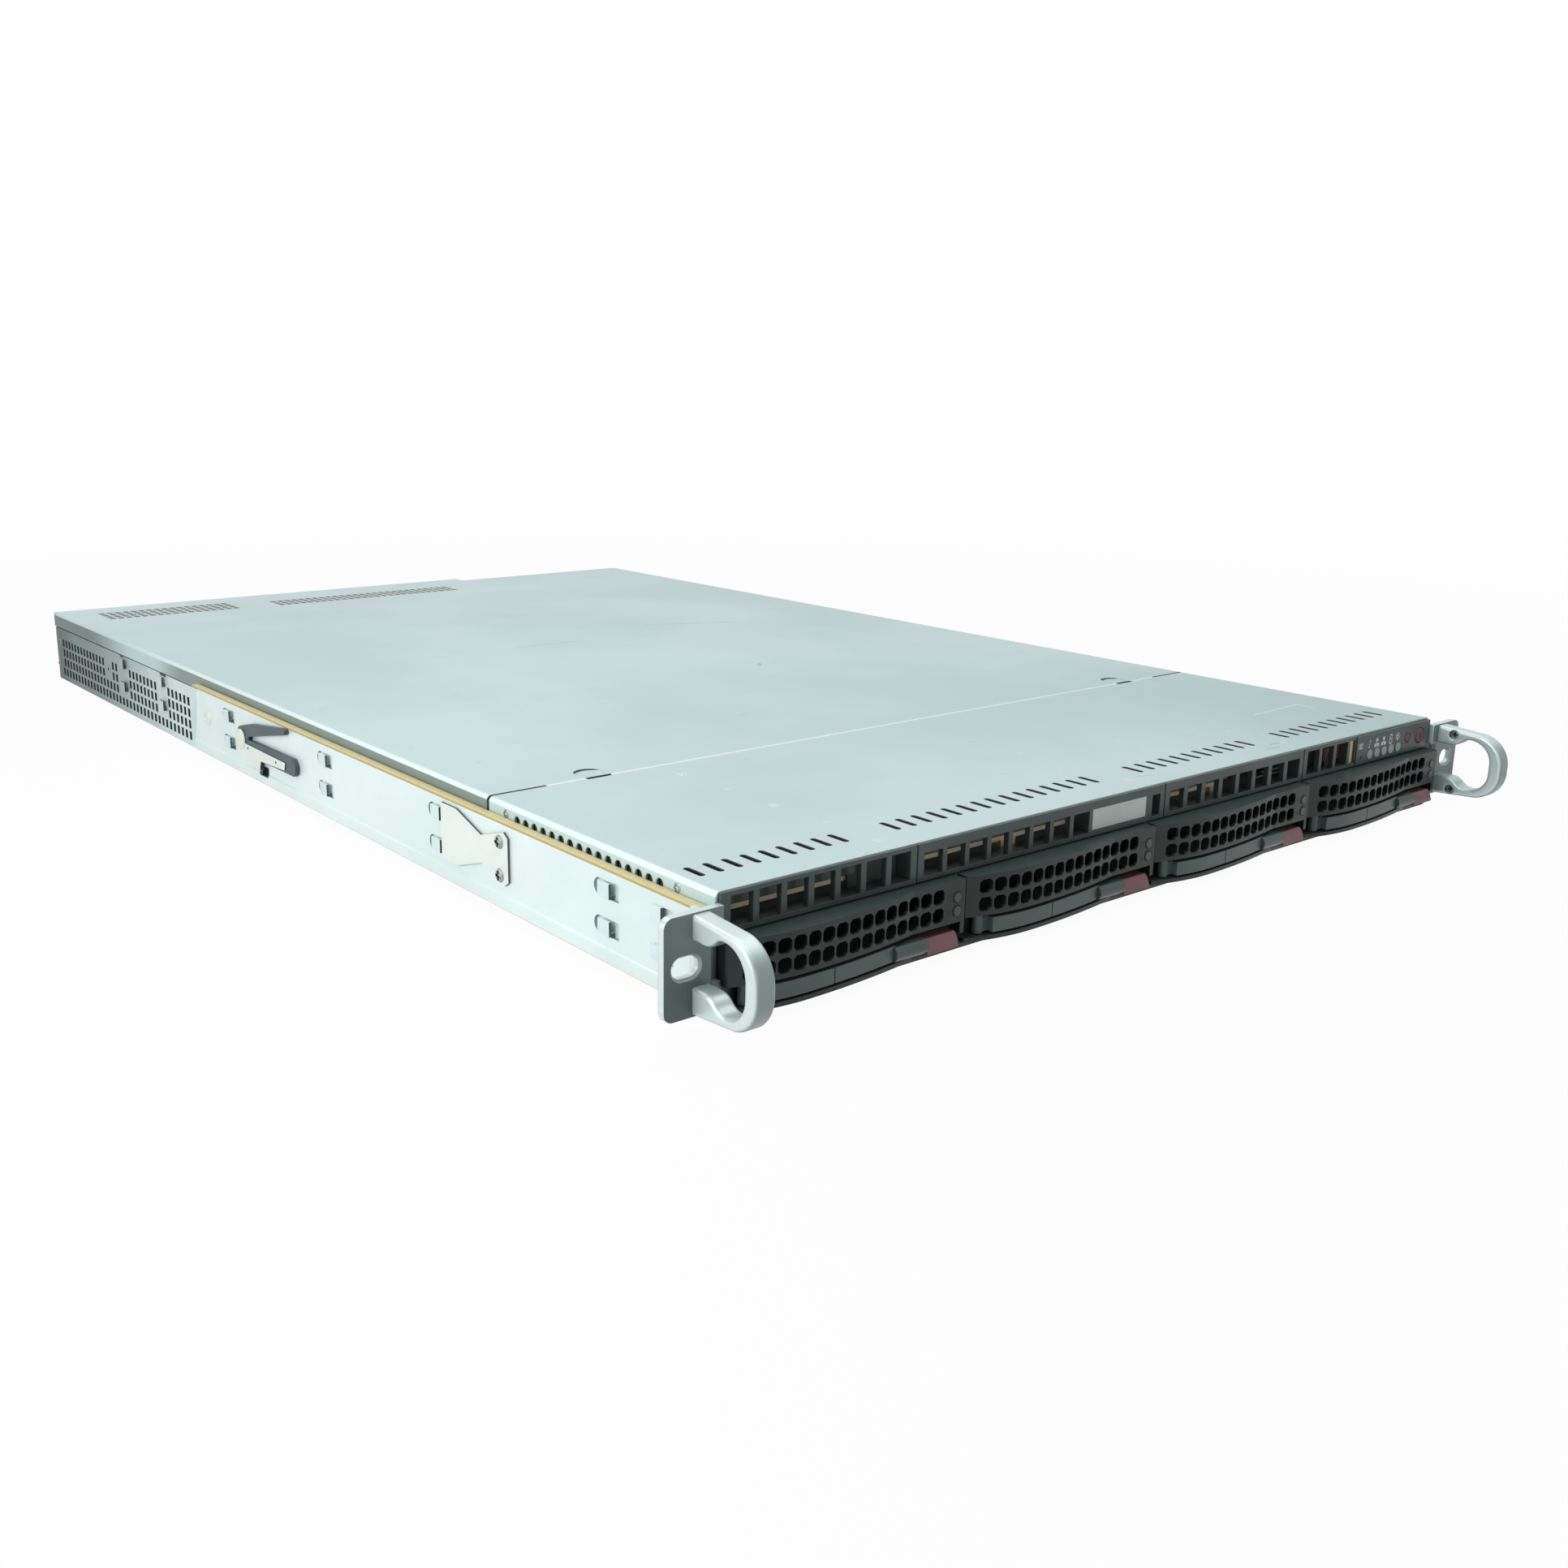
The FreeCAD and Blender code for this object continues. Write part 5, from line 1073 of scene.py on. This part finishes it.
# The panel's signs from left to right, each with its places across
panelMarks = {
    "front": -1.13,
    "height": 37.6,
    "signs": (
        {"places": (156,), "bars": (
            (-1.6, -1.05, -1.4, 1.2), (-0.75, -0.2, -1.4, 1.2), (0.1, 1.6, 0.75, 1.2),
            (0.1, 1.6, -1.4, -0.95), (0.1, 0.5, -0.95, 0.75), (1.2, 1.6, -0.95, 0.75),
        )},
        {"places": (163.2,), "bars": ((-0.9, 0.7, -1.9, -1.6),),
         "rings": ((0.4, 1.5, 0.5, 0, 0, 360, 10),),
         "outlines": (((-0.5, -1.6), (0.1, -1.6), (0.6, 0.6), (0, 0.6)),)},
        {"places": (169.7, 175.6), "bars": (
            (-0.9, 0.9, 0.4, 1.9), (-0.25, 0.25, -0.35, 0.4), (-1.6, 1.6, -0.7, -0.35),
            (-2.1, -0.25, -2.1, -0.7), (0.25, 2.1, -2.1, -0.7),
        )},
        {"places": (181.9,), "bars": ((-1.25, -0.8, -1.3, 1.1), (0.8, 1.25, -1.3, 1.1)),
         "rings": ((0, 1.1, 1.25, 0.7), (0, -1.3, 1.25, 0.75, 180, 360))},
        {"places": (188,), "bars": ((-0.5, 0.5, -1.6, -0.9),), "rings": ((0, 0.2, 1.2, 0.65),)},
    ),
    "rays": {"middle": (188, 37.8), "reach": 1.75, "count": 7, "start": -15, "step": 35,
             "sign": {"rings": ((0, 0, 0.32, 0, 0, 360, 6),)}},
    "pinhole": {"rings": ((157.2, 32.2, 0.9, 0),)},
    "buttons": (((208.1, 35.8), 4.5), ((197.2, 36.1), 2.95)),
    "ringProfile": ((-0.6, -0.02), (-0.5, 0.16), (-0.15, 0.16), (0, -0.02)),
    "ringFace": -1.1,
    "ringSegments": 36,
    "power": {"bars": ((-0.18, 0.18, 0, 1.7),), "rings": ((0, -0.2, 1.5, 1.15, 125, 415),)},
    "buttonFront": -1.42,
}


def makePanelMarks():
    marks = panelMarks
    front = marks["front"]
    form, dark, rings, power = bmesh.new(), bmesh.new(), bmesh.new(), bmesh.new()
    for sign in marks["signs"]:
        for across in sign["places"]:
            flatSign(form, sign, (across, marks["height"]), front)
    rays = marks["rays"]
    for number in range(rays["count"]):
        angle = math.radians(rays["start"] + rays["step"] * number)
        across, up = rays["middle"]
        centre = (across + rays["reach"] * math.cos(angle), up + rays["reach"] * math.sin(angle))
        flatSign(form, rays["sign"], centre, front)
    makePiece("panel_marks", form, printWhite, False)
    # The pinhole is a dark disc of painted shade
    flatSign(dark, marks["pinhole"], (0, 0), front)
    makePiece("panel_pinhole", dark, blackAndShade, False)
    for (across, up), radius in marks["buttons"]:
        profile = [(radius + inset, height) for inset, height in marks["ringProfile"]]
        addTurned(rings, (marks["ringSegments"], profile), (across, marks["ringFace"], up), (0, -1, 0))
    makePiece("button_rings", rings, black)
    flatSign(power, marks["power"], marks["buttons"][0][0], marks["buttonFront"])
    makePiece("power_sign", power, redPlastic, False, "power")


# Rings and signs beside each carrier's two lights
carrierMarks = {
    "pitch": 109.2,
    "middleNumber": 2.5,
    "light": 49.1,
    "lightHeights": (16.8, 21.9),
    "ring": (28, ((1.85, -0.05), (1.93, 0.28), (2.1, 0.28), (2.2, -0.05))),
    "ringFace": -6.3,
    "signAcross": 44.8,
    "signFront": -6.33,
    "sign": {"bars": (
        (-0.9, -0.6, 20.8, 23.2), (0.5, 0.8, 20.8, 23.2), (-0.9, 0.8, 22.95, 23.2),
        (-0.8, -0.5, 15.7, 17.7), (-0.15, 0.15, 15.7, 17.3), (0.5, 0.8, 15.7, 16.9),
    )},
}


def makeCarrierMarks():
    marks = carrierMarks
    for number in range(1, 5):
        middle = marks["pitch"] * (number - marks["middleNumber"])
        body = f"carrier_{number}"
        rings, signs = bmesh.new(), bmesh.new()
        for up in marks["lightHeights"]:
            addTurned(rings, marks["ring"], (marks["light"] + middle, marks["ringFace"], up), (0, -1, 0))
        makePiece(f"light_rings_{number}", rings, blackAndShade, True, body)
        flatSign(signs, marks["sign"], (marks["signAcross"] + middle, 0), marks["signFront"])
        makePiece(f"light_signs_{number}", signs, blackAndShade, False, body)


# Marks, pin heads, the seam edge in a painted highlight, and the thumb dishes of the covers with slits in
# painted shade
coverMarks = {
    "top": 43,
    "rosettes": ((-138.5, 125.3), (-138.5, 67.8), (-138, 10.8), (1.5, 68.3), (2, 11.8), (112.3, 12.7)),
    "petals": 4,
    "petalReach": 1.5,
    "petal": (10, ((0.95, -0.02), (0.7, 0.02), (0.3, 0.03), (0, 0.03))),
    "heart": (10, ((0.6, -0.02), (0.45, 0.02), (0, 0.03))),
    "dots": ((-137.8, 96.5), (-137.7, 38.9), (1.2, 96.8), (1.8, 39.4), (111.5, 39.9)),
    "dot": (10, ((0.65, -0.02), (0.5, 0.02), (0, 0.03))),
    "dotOffsets": (-0.75, 0.75),
    "dimples": (
        (-166.8, 184.7), (-167, 176.1), (161.6, 181.8), (158.6, 190.4), (-157.2, 699.8), (11.4, 700.7),
    ),
    "dimple": (16, ((1.9, -0.02), (1.5, 0.03), (0.9, 0.03), (0.5, -0.02))),
    "seamRuns": ((-192, -173.6), (-161.3, 161.3), (173.6, 192)),
    "seamSection": (
        (142.3, 42.1), (142.3, 42.9), (142.4, 43), (142.75, 43), (142.85, 42.9), (142.85, 42.1),
    ),
    "thumbs": (-167.5, 167.5),
    "thumbBack": 150,
    "thumbRadius": 6.15,
    "dish": ((0, 42.53), (0.55, 42.55), (0.85, 42.66), (1, 42.98), (1, 42.4)),
    "dishSegments": 40,
    "slitStart": 15,
    "slitSweep": 150,
    "slitSteps": 20,
    "slitWidth": (0.35, 1.05),
    "slitOver": 0.05,
    "slitHeights": (43.01, 42.86),
}


def addCoverPins(form):
    marks = coverMarks
    up, top = (0, 0, 1), marks["top"]
    for across, along in marks["rosettes"]:
        for step in range(marks["petals"]):
            angle = 2 * math.pi * (step + 0.5) / marks["petals"]
            reach = marks["petalReach"]
            place = (across + reach * math.cos(angle), along + reach * math.sin(angle), top)
            addTurned(form, marks["petal"], place, up)
        addTurned(form, marks["heart"], (across, along, top), up)
    for across, along in marks["dots"]:
        for offset in marks["dotOffsets"]:
            addTurned(form, marks["dot"], (across + offset, along, top), up)


# A slit of painted shade behind a thumb dish, widest in its middle
def addSlit(form, across, along):
    marks = coverMarks
    thin, bulge = marks["slitWidth"]
    reach, steps = marks["thumbRadius"], marks["slitSteps"]
    highest, lowest = marks["slitHeights"]
    rows = []
    for step in range(steps + 1):
        angle = math.radians(marks["slitStart"] + marks["slitSweep"] * step / steps)
        inner = reach - thin - bulge * math.sin(math.pi * step / steps)
        rows.append([
            form.verts.new((across + radius * math.cos(angle), along + radius * math.sin(angle), height))
            for radius, height in ((reach + marks["slitOver"], highest), (inner, lowest))
        ])
    ribbon(form, rows)


def makeCoverMarks():
    marks = coverMarks
    pins, dimples, seam, dishes, slits = (bmesh.new() for step in range(5))
    addCoverPins(pins)
    makePiece("cover_pins", pins, pinPale)
    for across, along in marks["dimples"]:
        addTurned(dimples, marks["dimple"], (across, along, marks["top"]), (0, 0, 1))
    makePiece("lid_dimples", dimples, cover, True, "lid")
    for run in marks["seamRuns"]:
        addBar(seam, marks["seamSection"], 0, *run)
    makePiece("seam_edge", seam, paleAndHighlight)
    profile = [(marks["thumbRadius"] * share, height) for share, height in marks["dish"]]
    for across in marks["thumbs"]:
        addTurned(dishes, (marks["dishSegments"], profile), (across, marks["thumbBack"], 0), (0, 0, 1))
        addSlit(slits, across, marks["thumbBack"])
    makePiece("thumb_dishes", dishes, cover, True, "lid")
    makePiece("thumb_slits", slits, blackAndShade, True, "lid")


# The pale face plate of each rail release lever
leverPlate = {
    "face": 224.8,
    "thick": 0.4,
    "outline": (
        (369.3, 20.8), (321, 20.5), (322.1, 16.7), (350.5, 15.4), (352.8, 8.9), (375.7, 15.3),
        (378.8, 18), (379.6, 21.7), (379, 24.6), (376.8, 26.6), (373, 26.8), (370.2, 24.6),
    ),
    "holes": ((366, 18.9), (331.9, 18.6)),
    "hole": (16, ((0.75, 0.02), (0, 0.02))),
}


def makeLeverPlates():
    look = leverPlate
    for name, side in sides.items():
        face, proud = side * look["face"], side * (look["face"] + look["thick"])
        form, holes = bmesh.new(), bmesh.new()
        low, high = (
            [form.verts.new((reach, *place)) for place in look["outline"]] for reach in (face, proud)
        )
        form.faces.new(high)
        bridge(form, low, high)
        makePiece(f"lever_plate_{name}", form, spring, False, f"release_{name}")
        # The holes are dark discs of painted shade
        for place in look["holes"]:
            addTurned(holes, look["hole"], (proud, *place), (side, 0, 0))
        makePiece(f"lever_plate_holes_{name}", holes, blackAndShade, False, f"release_{name}")


makeScrews()
makeFasteners()
makeFrontHooks()
makeRailStrips()
makeSocketMouth()
makeCellBrackets()
makePanelMarks()
makeCarrierMarks()
makeCoverMarks()
makeLeverPlates()
print("small pieces made")


# The photo's camera: place in millimetres, angles in degrees, lens in pixels
photoCamera = {
    "location": (-508.47, -369.42, 203.76),
    "azimuth": -38.64,
    "elevation": 14.29,
    "roll": 0.63,
    "focal": 1937.27,
    "middle": (901.06, 944.37),
    "picture": 1932,
    "sensor": 36,
    "clip": (0.01, 20),
}


def setCamera():
    place = photoCamera
    picture = place["picture"]
    turn, tilt = math.radians(place["azimuth"]), math.radians(place["elevation"])
    look = Vector((-math.sin(turn) * math.cos(tilt), math.cos(turn) * math.cos(tilt), -math.sin(tilt)))
    roll = Quaternion((0, 0, 1), math.radians(place["roll"]))
    data = bpy.data.cameras.new("photoCamera")
    camera = addObject("photoCamera", data)
    camera.rotation_mode = "QUATERNION"
    camera.location = [value * mm for value in place["location"]]
    camera.rotation_quaternion = look.to_track_quat("-Z", "Y") @ roll
    data.sensor_width = place["sensor"]
    data.lens = place["focal"] / picture * place["sensor"]
    data.shift_x = (picture / 2 - place["middle"][0]) / picture
    data.shift_y = (place["middle"][1] - picture / 2) / picture
    data.clip_start, data.clip_end = place["clip"]
    bpy.context.scene.camera = camera


# The studio, in metres, but the floor's middle and distances in millimetres
studio = {
    "white": (1, 1, 1),
    "worldStrength": 0.15,
    "worldColour": (0.93, 1, 1),
    "floorColour": (0.74, 0.74, 0.74),
    "floorRoughness": 0.9,
    "floorSize": 12,
    "floorDrop": 0.0004,
    "floorMiddle": 350,
    "floorWhite": 0.955,
    "floorFade": (500, 3000),
    "floorSeen": (450, 1700),
    "lamps": (
        ("overhead", (0.1, 0.5, 2), (0, 0.35, 0), 2.8, 29),
        ("leftSide", (-0.8, 0.12, 0.35), (-0.22, 0.12, 0.02), 0.4, 3.5),
        ("front", (-0.4, -2.2, 0.6), (0, 0, 0), 1, 2),
    ),
}


# The rays that see the white background, which lights nothing
def paleRays(graph):
    kinds = ("Is Camera Ray", "Is Glossy Ray", "Is Transmission Ray")
    camera, glossy, transmission = (graph.add("ShaderNodeLightPath", output=kind) for kind in kinds)
    return camera.largest(glossy).largest(transmission)


def setWorld():
    world = bpy.data.worlds.new("studio")
    bpy.context.scene.world = world
    world.use_nodes = True
    graph = Graph(world.node_tree)
    inputs = {"Color": studio["worldColour"], "Strength": studio["worldStrength"]}
    light = graph.add("ShaderNodeBackground", {}, inputs)
    seen = graph.add("ShaderNodeBackground", {}, {"Color": studio["white"]})
    mix = graph.add("ShaderNodeMixShader", {}, {0: paleRays(graph), 1: light, 2: seen})
    graph.add("ShaderNodeOutputWorld", {}, {"Surface": mix})


def setLamps():
    for name, place, aim, size, power in studio["lamps"]:
        data = bpy.data.lights.new(name, "AREA")
        data.size = size
        data.energy = power
        lamp = addObject(name, data)
        lamp.location = place
        lamp.rotation_euler = (Vector(aim) - Vector(place)).to_track_quat("-Z", "Y").to_euler()


# The floor shows soft shadows near the object and turns white further off
def setFloor():
    mesh = bpy.data.meshes.new("floor")
    form = bmesh.new()
    bmesh.ops.create_grid(form, x_segments=1, y_segments=1, size=studio["floorSize"])
    form.to_mesh(mesh)
    form.free()
    floor = addObject("floor", mesh)
    floor.location.z = -studio["floorDrop"]
    finish = Finish("paleFloor")
    finish.set(Base_Color=studio["floorColour"], Roughness=studio["floorRoughness"])
    distance = (finish.x ** 2 + (finish.y - studio["floorMiddle"]) ** 2) ** 0.5
    glow = finish.add("ShaderNodeEmission", {}, {"Color": studio["white"], "Strength": 1})
    seenWhite = paleRays(finish) * distance.ramp(*studio["floorSeen"], studio["floorWhite"], 1)
    fade = distance.ramp(*studio["floorFade"]).largest(seenWhite)
    surface = finish.add("ShaderNodeMixShader", {}, {0: fade, 1: finish.plain, 2: glow})
    finish.plug(finish.output.inputs["Surface"], surface)
    mesh.materials.append(finish.material)


setCamera()
setWorld()
setLamps()
setFloor()
print("camera, floor and lights set")

bpy.context.scene.view_settings.view_transform = "Standard"
